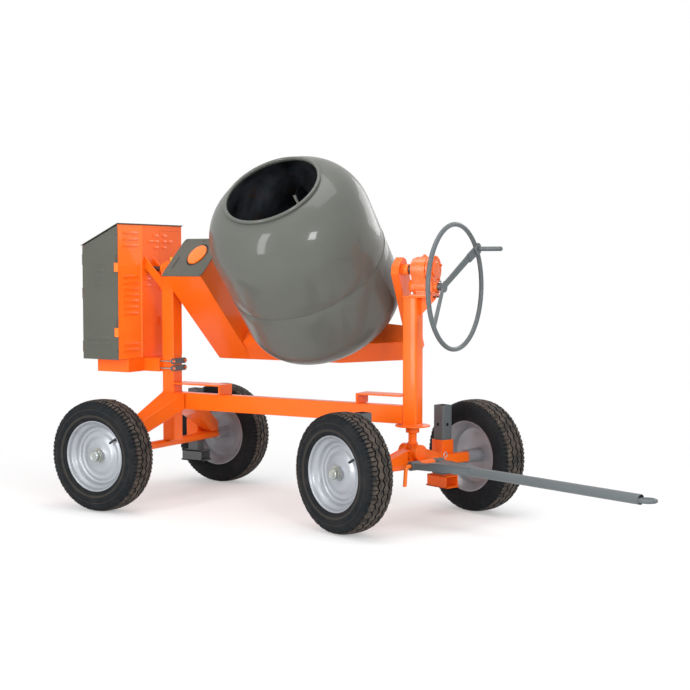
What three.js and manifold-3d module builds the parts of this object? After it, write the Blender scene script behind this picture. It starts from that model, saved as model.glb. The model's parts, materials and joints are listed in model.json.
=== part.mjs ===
// Towable tilting-drum concrete mixer, 350 litre class.
// Millimetres, +Z up, +X towards the drawbar, +Y towards the far side.
// Everything is laid out from the point on the ground under the rear axle,
// and the whole group is shifted at the end to the middle of its own footprint.

import * as THREE from 'three';
import { mergeVertices } from 'three/addons/utils/BufferGeometryUtils.js';
import { ConvexGeometry } from 'three/addons/geometries/ConvexGeometry.js';
import Module from 'manifold-3d';

const wasm = await Module();
wasm.setup();

// ---------------------------------------------------------------- driving dimensions

const GAP = 0.3; // between faces that rest on each other
const RUN = 0.5; // between a turning or sliding piece and its seat
const DEG = Math.PI / 180;

// wheels
const TYRE_RADIUS = 300;
const TYRE_HALF_WIDTH = 84;
const TREAD_HALF_WIDTH = 52;
const BEAD_RADIUS = 184;
const RIM_HALF_WIDTH = 62;
const HUB_RADIUS = 36;
const HUB_BACK = 78;
const HUB_FRONT = 44;
const CAP_RADIUS = 27;
const CAP_FRONT = 74;
const WHEEL_SIDES = 20;

// chassis
const WHEELBASE = 1584;
const REAR_TRACK = 1119;
const FRONT_TRACK = 938;
const COLUMN = 80; // square tube
const REAR_COLUMN_X = 45;
const TILT_HEIGHT = 1297; // axis that the cradle tilts on
const REAR_COLUMN_TOP = TILT_HEIGHT - 43;
const FRONT_COLUMN_TOP = TILT_HEIGHT - 143;
const FRONT_COLUMN_BOTTOM = TYRE_RADIUS + 200;
const PLATE = 8;
const BEAM_WIDTH = 60;
const BEAM_HEIGHT = 94;
const BEAM_TOP = FRONT_COLUMN_BOTTOM + 98;
const POCKET_HEIGHT = 56;
const POCKET_HALF_WIDTH = 62;
const REAR_POCKET_LENGTH = 330;
const FRONT_POCKET_LENGTH = 262;
const AXLE_TUBE = 22.5; // radius
const SPINDLE = 15; // radius
const TOP_BRACE_RISE = 62;

// steered front axle
const STEER_REST = -19.3;
const AXLE_BOX = 50;
const SWING_PIN_HEIGHT = TYRE_RADIUS + 60;
const SWING_PIN = 15; // radius
const SWING_BOSS = 42; // radius
const HEAD_HALF_LENGTH = 21;
const KINGPIN = 20; // radius
const KINGPIN_RISE = 60;
const COLLAR = 35; // radius
const TURNTABLE = 90; // radius

// drawbar
const HITCH_X = 100;
const HITCH_HEIGHT = TYRE_RADIUS + 8;
const HITCH_SLEEVE = 24; // radius
const HITCH_PIN = 10; // radius
const HITCH_CENTRE_HALF = 50;
const HITCH_HALF = 112;
const DRAWBAR_TUBE = 24; // radius
const DRAWBAR_NECK = 320; // from the hinge to the start of the tube
const DRAWBAR_REACH = 1330; // from the hinge to the tube's end
const EYE_RADIUS = 34;
const EYE_WIRE = 9;

// stabiliser legs
const LEG = 70; // square tube
const LEG_WALL = 5;
const LEG_TOP = 578;
const LEG_HOLE = 9; // radius
const LEG_HOLE_HEIGHT = 476;
const FOOT_BOTTOM = 142;
const FOOT_TOP = 206;
const FOOT_LENGTH = 156;
const FOOT_WIDTH = 92;
const SLEEVE_WALL = 6;
const SLEEVE_BOTTOM = TYRE_RADIUS + 23;
const SLEEVE_TOP = TYRE_RADIUS + 95;
const REAR_LEG_X = -90;
const REAR_LEG_Y = 405;
const FRONT_LEG_Y = 285;

// cradle and drum: z here runs along the drum's own axis from the tilt axis
const TILT_REST = 42;
const ARM_LEFT = 110;
const ARM_WIDTH = 260;
const ARM_HALF_DEPTH = 150;
const ARM_TOP = 85;
const ARM_FOOT_STEP = 30; // how far the box arm narrows towards its foot
const CROWN_RADIUS = 96; // wheel on the drum's axle
const ARM_FOOT_HALF_DEPTH = CROWN_RADIUS + 10;
const CROSS_BOTTOM = -612;
const CROSS_TOP = -470;
const RIGHT_ARM_WIDTH = 46;
const RIGHT_ARM_HALF_DEPTH = 58;
const RIGHT_ARM_TOP = 54;
const RIGHT_FOOT_STEP = 110; // how far the slim arm leans in towards its foot
const SLIM_BEVEL = 24; // taken off the top corners of the slim arm
const SLIM_BEVEL_RISE = 36;
const COLUMN_CLEARANCE = 8;
const FOLDED = 5; // wall of the folded steel cradle
const LEFT_TRUNNION = 30; // radius
const LEFT_FLANGE = 52; // radius
const RIGHT_TRUNNION = 20; // radius
const TRUNNION_BOSS = 28; // radius
const DRUM_X = 964;
const DRUM_RADIUS = 437;
const DRUM_WALL = 5;
const DRUM_SEAM = 42;
const DRUM_SHOULDER = 262;
const MOUTH_HEIGHT = 536;
const MOUTH_RADIUS = 247;
const MOUTH_ROLL = 9; // radius of the rolled edge
const PAN_FLAT = 190; // radius of the flat bottom
const PAN_BOTTOM = -420;
const PAN_SIDE = -205; // where the bottom starts to round
const DRUM_SIDES = 28;
const BLADE_SIDE = 8; // the side of the drum that the first blade ends on, counted from +X

// drive
const SHAFT = 15; // radius
const DRIVE_PULLEY = 140;
const MOTOR_PULLEY = 36;
const MOTOR_HEIGHT = 915;
const MOTOR_RADIUS = 84;
const BELT_THICKNESS = 9;
const BELT_WIDTH = 16;
const SPROCKET_X = 240;
const SPROCKET_UPPER = 42;
const SPROCKET_LOWER = 46;
const CHAIN_THICKNESS = 10;
const CHAIN_WIDTH = 14;
const LAY_SHAFT = 12; // radius
const LAY_SHAFT_LEVEL = -546;
const CROWN_LEVEL = -512;
const CROWN_THICKNESS = 14;
const CROWN_PINION = 32;
const DRUM_AXLE = 24; // radius

// hand-wheel and gearbox
const TILT_GEAR = 55; // pitch radius
const TILT_PINION = 32.5; // pitch radius
const GEAR_WIDTH = 34;
const CASE_LENGTH = 108;
const CASE_WALL = 7;
const HANDWHEEL_RADIUS = 313; // to the middle of the ring's tube
const HANDWHEEL_TUBE = 12; // radius
const HANDWHEEL_SHAFT = 12; // radius
const HANDWHEEL_DISH = 90;
const CRANK_ANGLE = 38;
const CRANK_LENGTH = 128;
const CRANK_GRIP = 12; // radius
const SPOKES = 2;
const SPOKE_WIDTH = 34;
const CRANK_PLATE = 52; // width of the plate that carries the crank peg

// motor housing
const HOUSING_FRONT = -116;
const HOUSING_DEPTH = 254;
const HOUSING_NEAR = -280;
const HOUSING_FAR = 307;
const HOUSING_BOTTOM = 789;
const HOUSING_FRONT_TOP = TILT_HEIGHT + 249;
const HOUSING_REAR_TOP = TILT_HEIGHT + 133;
const SHEET = 4;
const DOOR_DROP = 6; // below the roof's edge, so that the door swings clear of it
const FLAP_EDGE = 100;
const CARRIER_HEIGHT = 74;
const CLAMP_LEVELS = [775, 735];
const LATCH_LEVELS = [1306, 943];

// ---------------------------------------------------------------- materials

const COLOURS = {
  orange: 0xf0641e,
  grey: 0x66695f,
  steelGrey: 0x636b6b,
  rubber: 0x1d1e20,
  silver: 0xb9bcc2,
  zinc: 0x9fa3a8,
  iron: 0x3a3b3c,
};

function paint(colour, roughness, metalness) {
  return new THREE.MeshStandardMaterial({ color: COLOURS[colour], roughness, metalness });
}

// ---------------------------------------------------------------- solids

// A closed geometry, or one already turned into a solid, as a solid to join and cut.
function solid(shape) {
  if (!(shape instanceof THREE.BufferGeometry)) {
    return shape;
  }
  const bare = shape.clone();
  bare.deleteAttribute('normal');
  bare.deleteAttribute('uv');
  const merged = mergeVertices(bare, 1e-3);
  const mesh = new wasm.Mesh({
    numProp: 3,
    vertProperties: merged.attributes.position.array,
    triVerts: Uint32Array.from(merged.index.array),
  });
  return new wasm.Manifold(mesh);
}

function geometryOf(body) {
  const mesh = body.getMesh();
  const geometry = new THREE.BufferGeometry();
  geometry.setAttribute('position', new THREE.BufferAttribute(mesh.vertProperties, 3));
  geometry.setIndex(new THREE.BufferAttribute(mesh.triVerts, 1));
  return geometry;
}

function join(...shapes) {
  return shapes.map(solid).reduce((whole, next) => whole.add(next));
}

function cut(shape, ...tools) {
  return tools.map(solid).reduce((whole, next) => whole.subtract(next), solid(shape));
}

// A block between two corners.
function block(x0, x1, y0, y1, z0, z1) {
  const geometry = new THREE.BoxGeometry(x1 - x0, y1 - y0, z1 - z0);
  return geometry.translate((x0 + x1) / 2, (y0 + y1) / 2, (z0 + z1) / 2);
}

// Turns a shape made along +Z so that it lies along another axis.
function laidAlong(axis, geometry) {
  const turns = { x: ['rotateY', Math.PI / 2], y: ['rotateX', -Math.PI / 2] };
  if (axis in turns) {
    const [turn, angle] = turns[axis];
    geometry[turn](angle);
  }
  return geometry;
}

// A rod along an axis, between two places on it, through a point given on the other two.
function rod(axis, radius, from, to, at = [0, 0], sides = 12) {
  const geometry = new THREE.CylinderGeometry(radius, radius, to - from, sides);
  geometry.rotateX(Math.PI / 2);
  laidAlong(axis, geometry);
  const middle = (from + to) / 2;
  const places = {
    x: [middle, at[0], at[1]],
    y: [at[0], middle, at[1]],
    z: [at[0], at[1], middle],
  };
  return geometry.translate(...places[axis]);
}

// A rod to cut away, whose flats lie at the radius so that a round shaft of that radius fits.
function hole(axis, radius, from, to, at = [0, 0], sides = 12) {
  return rod(axis, radius / Math.cos(Math.PI / sides), from, to, at, sides);
}

// An outline of [y, z] points pushed along X, or of [x, z] points pushed along Y.
function slab(axis, points, from, to, holes = []) {
  const flat = (list) => list.map(([a, b]) => new THREE.Vector2(...(axis === 'y' ? [b, a] : [a, b])));
  const outline = new THREE.Shape(flat(points));
  outline.holes = holes.map((hole) => new THREE.Path(flat(hole)));
  const geometry = new THREE.ExtrudeGeometry(outline, { depth: to - from, bevelEnabled: false });
  const frames = {
    x: [[0, 1, 0], [0, 0, 1], [1, 0, 0]],
    y: [[0, 0, 1], [1, 0, 0], [0, 1, 0]],
    z: [[1, 0, 0], [0, 1, 0], [0, 0, 1]],
  };
  const axes = frames[axis].map((vector) => new THREE.Vector3(...vector));
  geometry.applyMatrix4(new THREE.Matrix4().makeBasis(...axes));
  const shift = axes[2].clone().multiplyScalar(from);
  return geometry.translate(shift.x, shift.y, shift.z);
}

// A closed profile of [radius, z] points turned about the Z axis, wound so that its faces point out.
function turned(profile, sides) {
  const points = profile.map(([radius, z]) => new THREE.Vector2(radius, z));
  if (THREE.ShapeUtils.area(points) < 0) {
    points.reverse();
  }
  points.push(points[0].clone());
  const geometry = new THREE.LatheGeometry(points, sides);
  return geometry.rotateX(Math.PI / 2);
}

// The solid between corner points, for tapering boxes.
function hull(points) {
  return new ConvexGeometry(points.map((point) => new THREE.Vector3(...point)));
}

// A bent round wire or tube through the given points.
function wire(points, radius, sides, steps) {
  const path = new THREE.CatmullRomCurve3(points.map((point) => new THREE.Vector3(...point)));
  const section = new THREE.Shape();
  for (let side = 0; side < sides; side += 1) {
    const angle = (2 * Math.PI * side) / sides;
    const place = [radius * Math.cos(angle), radius * Math.sin(angle)];
    section[side === 0 ? 'moveTo' : 'lineTo'](...place);
  }
  return new THREE.ExtrudeGeometry(section, { steps, bevelEnabled: false, extrudePath: path });
}

function circle(radius, centre, count, from = 0, sweep = 360) {
  const turns = sweep === 360 ? count : count - 1;
  return Array.from({ length: count }, (_, index) => {
    const angle = (from + (sweep * index) / turns) * DEG;
    return [centre[0] + radius * Math.cos(angle), centre[1] + radius * Math.sin(angle)];
  });
}

// The outline of a belt or chain round two wheels, the first above the second.
// The corners stand off so that the straight steps between them stay clear of the wheels.
function loopOutline(upperRadius, upperZ, lowerRadius, lowerZ, count = 14) {
  const lean = Math.asin((lowerRadius - upperRadius) / (upperZ - lowerZ)) / DEG;
  const arc = (radius, z, from, sweep) => {
    const standOff = 1 / Math.cos((sweep * DEG) / (count - 1) / 2);
    return circle(radius * standOff, [0, z], count, from, sweep);
  };
  return [
    ...arc(upperRadius, upperZ, lean, 180 - 2 * lean),
    ...arc(lowerRadius, lowerZ, 180 - lean, 180 + 2 * lean),
  ];
}

// ---------------------------------------------------------------- scene graph

const machine = new THREE.Group();

function frameAt(parent, x, y, z) {
  const frame = new THREE.Group();
  frame.position.set(x, y, z);
  parent.add(frame);
  return frame;
}

function addPart(parent, name, shape, material) {
  const geometry = shape instanceof THREE.BufferGeometry ? shape : geometryOf(shape);
  const mesh = new THREE.Mesh(geometry, material);
  mesh.name = name;
  parent.add(mesh);
  return mesh;
}

const orange = () => paint('orange', 0.38, 0);
const grey = () => paint('grey', 0.35, 0);
const steelGrey = () => paint('steelGrey', 0.45, 0.1);
const iron = () => paint('iron', 0.55, 0.6);
const zinc = () => paint('zinc', 0.35, 0.9);

const sides = { near: -1, far: 1 };
const HALF_COLUMN = COLUMN / 2;
const HALF_BEAM = BEAM_WIDTH / 2;
const BEAM_BOTTOM = BEAM_TOP - BEAM_HEIGHT;
const REAR_COLUMN_FACE = REAR_COLUMN_X + HALF_COLUMN;
const FRONT_COLUMN_FACE = WHEELBASE - HALF_COLUMN;
const SLEEVE = LEG / 2 + RUN + SLEEVE_WALL;

// ---------------------------------------------------------------- chassis

function addFrame() {
  const beam = cut(
    block(REAR_COLUMN_FACE + GAP, FRONT_COLUMN_FACE - GAP, -HALF_BEAM, HALF_BEAM, BEAM_BOTTOM, BEAM_TOP),
    block(0, WHEELBASE, PLATE - HALF_BEAM, HALF_BEAM - PLATE, BEAM_BOTTOM + PLATE, BEAM_TOP - PLATE),
  );
  addPart(machine, 'main_beam', beam, orange());

  const rearColumn = cut(
    block(
      REAR_COLUMN_X - HALF_COLUMN, REAR_COLUMN_FACE, -HALF_COLUMN, HALF_COLUMN,
      TYRE_RADIUS + AXLE_TUBE + GAP, REAR_COLUMN_TOP,
    ),
    block(
      REAR_COLUMN_X - HALF_COLUMN + PLATE, REAR_COLUMN_FACE - PLATE,
      PLATE - HALF_COLUMN, HALF_COLUMN - PLATE, 0, REAR_COLUMN_TOP - PLATE,
    ),
  );
  addPart(machine, 'rear_column', rearColumn, orange());

  const gussetReach = 92;
  const plateEdge = WHEELBASE + HALF_COLUMN + gussetReach;
  const gusset = [
    [WHEELBASE + HALF_COLUMN - 1, FRONT_COLUMN_TOP],
    [plateEdge, FRONT_COLUMN_TOP],
    [WHEELBASE + HALF_COLUMN - 1, FRONT_COLUMN_TOP - gussetReach],
  ];
  const frontColumn = cut(
    join(
      block(
        FRONT_COLUMN_FACE, WHEELBASE + HALF_COLUMN, -HALF_COLUMN, HALF_COLUMN,
        FRONT_COLUMN_BOTTOM, FRONT_COLUMN_TOP,
      ),
      block(
        FRONT_COLUMN_FACE, plateEdge, -HALF_COLUMN, HALF_COLUMN,
        FRONT_COLUMN_TOP, FRONT_COLUMN_TOP + PLATE,
      ),
      slab('y', gusset, -PLATE / 2, PLATE / 2),
      rod('z', TURNTABLE, FRONT_COLUMN_BOTTOM - PLATE, FRONT_COLUMN_BOTTOM, [WHEELBASE, 0], 32),
    ),
    hole('z', KINGPIN + RUN, 0, FRONT_COLUMN_BOTTOM + KINGPIN_RISE + RUN, [WHEELBASE, 0]),
  );
  addPart(machine, 'front_column', frontColumn, orange());
}

function rearLegSleeve(way) {
  const y = way * REAR_LEG_Y;
  const floor = TYRE_RADIUS - AXLE_TUBE;
  const near = REAR_LEG_X - SLEEVE;
  const far = REAR_LEG_X + SLEEVE;
  return cut(
    join(
      block(near, far, y - SLEEVE, y + SLEEVE, floor, SLEEVE_TOP),
      block(far - 1, 0, y - 30, y + 30, floor + 4, TYRE_RADIUS + AXLE_TUBE - 4),
    ),
    legBore(REAR_LEG_X, y),
  );
}

function addRearAxle() {
  const half = REAR_TRACK / 2;
  const tubeEnd = half - HUB_BACK - RUN;
  const axle = join(
    rod('y', AXLE_TUBE, -tubeEnd, tubeEnd, [0, TYRE_RADIUS]),
    rod('y', SPINDLE, -half - HUB_FRONT - 12, half + HUB_FRONT + 12, [0, TYRE_RADIUS]),
    ...Object.values(sides).map(rearLegSleeve),
  );
  addPart(machine, 'rear_axle', axle, orange());

  for (const [side, way] of Object.entries(sides)) {
    const outer = tubeEnd - 6;
    const inner = outer - 70;
    const seat = TYRE_RADIUS + AXLE_TUBE + GAP;
    const root = HALF_COLUMN + GAP;
    const points = [];
    for (const x of [-26, 26]) {
      points.push([x, way * outer, seat], [x, way * inner, seat], [x, way * outer, seat + 52]);
    }
    for (const x of [REAR_COLUMN_X - HALF_COLUMN, REAR_COLUMN_FACE + 75]) {
      points.push([x, way * root, BEAM_BOTTOM], [x, way * root, BEAM_TOP]);
    }
    addPart(machine, `rear_strut_${side}`, hull(points), orange());
  }
}

function legBore(x, y) {
  const bore = LEG / 2 + RUN;
  return block(x - bore, x + bore, y - bore, y + bore, 0, LEG_TOP);
}

// A plate on the beam beside each column, folded down at its free end, for a loader's fork.
function addForkPockets() {
  const floor = BEAM_TOP + GAP;
  const top = BEAM_TOP + POCKET_HEIGHT;
  const rearStart = REAR_COLUMN_FACE + GAP;
  const frontEnd = FRONT_COLUMN_FACE - GAP;
  const ends = {
    rear: [rearStart, rearStart + REAR_POCKET_LENGTH, rearStart + REAR_POCKET_LENGTH - PLATE],
    front: [frontEnd - FRONT_POCKET_LENGTH, frontEnd, frontEnd - FRONT_POCKET_LENGTH],
  };
  for (const [place, [from, to, fold]] of Object.entries(ends)) {
    const pocket = join(
      block(from, to, -POCKET_HALF_WIDTH, POCKET_HALF_WIDTH, top - PLATE, top),
      block(fold, fold + PLATE, -POCKET_HALF_WIDTH, POCKET_HALF_WIDTH, floor, top),
    );
    addPart(machine, `fork_pocket_${place}`, pocket, orange());
  }
}

function addBearing() {
  const halfLength = 34;
  const halfWidth = 46;
  const crown = TILT_HEIGHT + LEFT_TRUNNION + 16;
  const outline = [
    [-halfWidth - 10, REAR_COLUMN_TOP + GAP],
    [halfWidth + 10, REAR_COLUMN_TOP + GAP],
    [halfWidth, TILT_HEIGHT],
    [halfWidth * 0.6, crown],
    [-halfWidth * 0.6, crown],
    [-halfWidth, TILT_HEIGHT],
  ];
  const bearing = cut(
    join(
      slab('x', outline, REAR_COLUMN_X - halfLength, REAR_COLUMN_X + halfLength),
      rod('z', 5, crown - 1, crown + 9, [REAR_COLUMN_X, 0], 10),
      rod('z', 3, crown + 8, crown + 17, [REAR_COLUMN_X, 0], 10),
    ),
    hole('x', LEFT_TRUNNION + RUN, -COLUMN, 2 * COLUMN, [0, TILT_HEIGHT], 28),
  );
  addPart(machine, 'trunnion_bearing', bearing, orange());

  const wallEnd = HOUSING_FRONT + GAP;
  const columnEnd = REAR_COLUMN_X - HALF_COLUMN - GAP;
  const foot = REAR_COLUMN_TOP - PLATE;
  const rise = columnEnd - wallEnd;
  const side = [
    [columnEnd, foot - TOP_BRACE_RISE],
    [columnEnd, foot],
    [wallEnd, foot + rise],
    [wallEnd, foot + rise - TOP_BRACE_RISE],
  ];
  const half = HALF_COLUMN;
  const brace = cut(
    join(
      slab('y', side, -half, -half + 6),
      slab('y', side, half - 6, half),
      block(columnEnd - 6, columnEnd, -half, half, foot - TOP_BRACE_RISE, foot),
      block(wallEnd, wallEnd + 6, -half, half, foot + rise - TOP_BRACE_RISE, foot + rise),
    ),
    hole('x', SHAFT + 8, wallEnd - 1, columnEnd + 1, [0, TILT_HEIGHT]),
  );
  addPart(machine, 'top_brace', brace, orange());
}

// ---------------------------------------------------------------- tilt gearbox

const GEAR_HEIGHT = TILT_HEIGHT - TILT_GEAR - TILT_PINION;
const CASE_START = FRONT_COLUMN_FACE + 52;
const CASE_END = CASE_START + CASE_LENGTH;

function caseOutline(extra) {
  const floor = FRONT_COLUMN_TOP + PLATE + GAP;
  const half = TILT_PINION + extra;
  return [
    [-half, Math.max(floor, GEAR_HEIGHT - half)],
    [half, Math.max(floor, GEAR_HEIGHT - half)],
    [half, GEAR_HEIGHT],
    ...circle(TILT_GEAR + extra, [0, TILT_HEIGHT], 17, -35, 250),
    [-half, GEAR_HEIGHT],
  ];
}

function addGearbox() {
  const inside = 4;
  const outside = inside + CASE_WALL;
  const hollow = slab('x', caseOutline(inside), CASE_START + CASE_WALL, CASE_END + 1);
  const trunnionHole = hole('x', RIGHT_TRUNNION + RUN, CASE_START - 1, CASE_START + 30, [0, TILT_HEIGHT]);
  const plugTop = TILT_HEIGHT + TILT_GEAR + outside;
  const middle = (CASE_START + CASE_END) / 2;
  const gearcase = cut(
    join(
      slab('x', caseOutline(outside), CASE_START, CASE_END),
      rod('x', GEAR_HEIGHT - FRONT_COLUMN_TOP - PLATE - GAP - 4, CASE_START - 6, CASE_END, [0, GEAR_HEIGHT]),
      rod('z', 8, plugTop - 4, plugTop + 10, [middle, 0], 6),
    ),
    hollow,
    trunnionHole,
  );
  addPart(machine, 'gearbox_case', gearcase, orange());

  const bolts = [20, 90, 160, 235, 305].map((angle) => {
    const radius = TILT_GEAR + inside + 2;
    const place = [radius * Math.cos(angle * DEG), TILT_HEIGHT + radius * Math.sin(angle * DEG)];
    return rod('x', 6, CASE_END + 8, CASE_END + 16, place, 6);
  });
  const cover = cut(
    join(
      slab('x', caseOutline(outside), CASE_END + GAP, CASE_END + 9),
      rod('x', 26, CASE_END + 8, CASE_END + 24, [0, GEAR_HEIGHT]),
      rod('x', 40, CASE_END + 8, CASE_END + 15, [0, TILT_HEIGHT]),
      ...bolts,
    ),
    hole('x', HANDWHEEL_SHAFT + RUN, CASE_END - 1, CASE_END + 30, [0, GEAR_HEIGHT]),
  );
  addPart(machine, 'gearbox_cover', cover, orange());
}

function addHandwheel() {
  const start = CASE_START + CASE_WALL + RUN;
  const hub = CASE_END + 30;
  const plane = hub + HANDWHEEL_DISH;
  const frame = frameAt(machine, 0, 0, GEAR_HEIGHT);
  const ring = laidAlong('x', new THREE.TorusGeometry(HANDWHEEL_RADIUS, HANDWHEEL_TUBE, 6, 32));
  ring.translate(plane, 0, 0);
  const spokes = [];
  for (let index = 0; index < SPOKES; index += 1) {
    const angle = CRANK_ANGLE + (360 / SPOKES) * index;
    const half = SPOKE_WIDTH / 2;
    const bar = hull([
      [hub + 4, 14, -half], [hub + 4, 14, half], [hub + 12, 14, -half], [hub + 12, 14, half],
      ...[-4, 4].flatMap((lift) => [-half, half].map((z) => [plane + lift, HANDWHEEL_RADIUS, z])),
    ]);
    spokes.push(bar.rotateX(angle * DEG));
  }
  const crankTurn = [Math.cos(CRANK_ANGLE * DEG), Math.sin(CRANK_ANGLE * DEG)];
  const pegPlace = crankTurn.map((part) => HANDWHEEL_RADIUS * part);
  const plateFront = plane + HANDWHEEL_TUBE;
  const gripStart = plateFront + 4 + RUN;
  const gripEnd = plateFront + CRANK_LENGTH;
  const peg = rod('x', CRANK_GRIP / 2, plane, gripEnd + 2, pegPlace);
  const stopper = rod('x', CRANK_GRIP - 3, gripEnd + RUN, gripEnd + 5, pegPlace);
  const plate = rod('x', CRANK_PLATE / 2, plateFront - 8, plateFront + 4, pegPlace, 16);
  const wheel = join(
    rod('x', HANDWHEEL_SHAFT, start, hub + 20, [0, 0]),
    rod('x', TILT_PINION - GAP, start + 10, start + 10 + GEAR_WIDTH, [0, 0], 26),
    rod('x', 24, hub, hub + 30, [0, 0]),
    ring,
    peg,
    plate,
    stopper,
    ...spokes,
  );
  addPart(frame, 'handwheel', wheel, steelGrey());
  const grip = cut(
    rod('x', CRANK_GRIP, gripStart, gripEnd, pegPlace, 16),
    hole('x', CRANK_GRIP / 2 + RUN, plane, gripEnd + 1, pegPlace),
  );
  addPart(frame, 'crank_grip', grip, steelGrey());
}

// ---------------------------------------------------------------- cradle

const cradle = frameAt(machine, 0, 0, TILT_HEIGHT);
cradle.rotation.x = TILT_REST * DEG;
const RIGHT_ARM_END = FRONT_COLUMN_FACE - COLUMN_CLEARANCE;
const RIGHT_ARM_START = RIGHT_ARM_END - RIGHT_ARM_WIDTH;
const ARM_RIGHT = ARM_LEFT + ARM_WIDTH;

// Where the box arm's outer face stands at a height, as it narrows towards its foot.
function boxArmFace(z) {
  return ARM_LEFT + ARM_FOOT_STEP * (ARM_TOP - z) / (ARM_TOP - CROSS_BOTTOM);
}

// Where the slim arm's outer face stands at a height, as it leans in towards its foot.
function slimArmFace(z) {
  return RIGHT_ARM_END - RIGHT_FOOT_STEP * (RIGHT_ARM_TOP - z) / (RIGHT_ARM_TOP - CROSS_BOTTOM);
}

// The cradle's three boxes, drawn in by a wall thickness for their inside.
function cradleBoxes(inset, bottom) {
  const deep = ARM_HALF_DEPTH - inset;
  const footDeep = ARM_FOOT_HALF_DEPTH - inset;
  const shallow = RIGHT_ARM_HALF_DEPTH - inset;
  const lidFace = ARM_TOP + (inset ? 1 : 0);
  const arm = [];
  const cross = [];
  const slim = [];
  for (const side of [-1, 1]) {
    arm.push([ARM_LEFT + inset, side * deep, lidFace]);
    arm.push([ARM_RIGHT - inset, side * deep, lidFace]);
    arm.push([ARM_LEFT + ARM_FOOT_STEP + inset, side * footDeep, bottom]);
    arm.push([ARM_RIGHT - inset, side * footDeep, bottom]);
    for (const z of [bottom, CROSS_TOP - inset]) {
      cross.push([ARM_RIGHT - 2 * FOLDED, side * footDeep, z]);
      cross.push([DRUM_X, side * footDeep, z]);
      cross.push([slimArmFace(z) - inset, side * shallow, z]);
    }
    const levels = [
      [bottom, shallow],
      [RIGHT_ARM_TOP - SLIM_BEVEL_RISE, shallow],
      [RIGHT_ARM_TOP - inset, shallow - SLIM_BEVEL],
    ];
    for (const [z, half] of levels) {
      slim.push([slimArmFace(z) - inset, side * half, z]);
      slim.push([slimArmFace(z) - RIGHT_ARM_WIDTH + inset, side * half, z]);
    }
  }
  return [hull(arm), hull(cross), hull(slim)];
}

// The two bearings of the lay shaft, welded under the cross box's top plate.
function layShaftHangers() {
  return [ARM_RIGHT + 30, DRUM_X - CROWN_RADIUS - 40].map((x) => cut(
    block(x, x + 20, -34, 34, LAY_SHAFT_LEVEL - 30, CROSS_TOP - FOLDED + 1),
    hole('x', LAY_SHAFT + RUN, x - 1, x + 21, [0, LAY_SHAFT_LEVEL], 16),
  ));
}

function addCradle() {
  const flangeEnd = boxArmFace(-LEFT_FLANGE) + 1;
  const slimStart = slimArmFace(RIGHT_TRUNNION) - RIGHT_ARM_WIDTH + 1;
  const outer = join(
    ...cradleBoxes(0, CROSS_BOTTOM),
    rod('x', LEFT_TRUNNION, REAR_COLUMN_X - 60, flangeEnd, [0, 0], 16),
    rod('x', LEFT_FLANGE, ARM_LEFT - 12, flangeEnd, [0, 0], 16),
    rod('x', RIGHT_TRUNNION, slimStart, CASE_END - 12, [0, 0]),
    rod('x', TRUNNION_BOSS, slimArmFace(-TRUNNION_BOSS) - 1, CASE_START - 4, [0, 0]),
  );
  const frame = cut(
    outer,
    cut(join(...cradleBoxes(FOLDED, CROSS_BOTTOM - 1)), rod('x', RIGHT_TRUNNION, slimStart, WHEELBASE)),
    hole('x', SHAFT + RUN, 0 - COLUMN, ARM_LEFT + 20, [0, 0]),
    hole('z', DRUM_AXLE + 4, CROSS_TOP - 20, CROSS_TOP + 20, [DRUM_X, 0]),
  );
  addPart(cradle, 'cradle_frame', join(frame, ...layShaftHangers()), orange());

  const lid = ARM_TOP + GAP;
  const lidEdge = 6;
  const slot = block(ARM_LEFT + 34, ARM_LEFT + 42, -95, 0, lid - 1, lid + SHEET + 1);
  const badge = circle(1, [0, 0], 24).map(([a, b]) => [ARM_LEFT + ARM_WIDTH * 0.58 + 52 * a, 18 + 74 * b]);
  const rim = lidEdge + ARM_HALF_DEPTH;
  const cover = cut(
    join(
      block(ARM_LEFT - lidEdge, ARM_RIGHT + lidEdge, -rim, rim, lid, lid + SHEET),
      slab('z', badge, lid + 1, lid + SHEET + 8),
    ),
    slot,
  );
  addPart(cradle, 'cradle_cover', cover, grey());

  const strip = [];
  for (const side of [-1, 1]) {
    for (const z of [CROSS_BOTTOM - GAP, CROSS_BOTTOM - GAP - SHEET]) {
      strip.push([ARM_LEFT + ARM_FOOT_STEP, side * (ARM_FOOT_HALF_DEPTH - 8), z]);
      strip.push([DRUM_X, side * (ARM_FOOT_HALF_DEPTH - 8), z]);
      strip.push([slimArmFace(CROSS_BOTTOM) - 8, side * (RIGHT_ARM_HALF_DEPTH - 8), z]);
    }
  }
  addPart(cradle, 'cradle_bottom_cover', hull(strip), grey());

  const bearing = cut(
    join(
      rod('z', 62, CROSS_TOP + GAP, PAN_BOTTOM - 8, [DRUM_X, 0], 16),
      rod('z', 88, CROSS_TOP + GAP, CROSS_TOP + 12, [DRUM_X, 0], 16),
    ),
    hole('z', DRUM_AXLE + RUN, CROSS_TOP - 1, PAN_BOTTOM, [DRUM_X, 0], 16),
  );
  addPart(cradle, 'drum_bearing', bearing, orange());

  const tiltGear = cut(
    rod('x', TILT_GEAR - GAP, 0, GEAR_WIDTH, [0, 0], 36),
    hole('x', RIGHT_TRUNNION + GAP, -1, GEAR_WIDTH + 1, [0, 0]),
  );
  const gearMesh = addPart(cradle, 'tilt_gear', tiltGear, iron());
  gearMesh.position.x = CASE_START + CASE_WALL + RUN + 10;
}

// ---------------------------------------------------------------- drive to the drum

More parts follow.
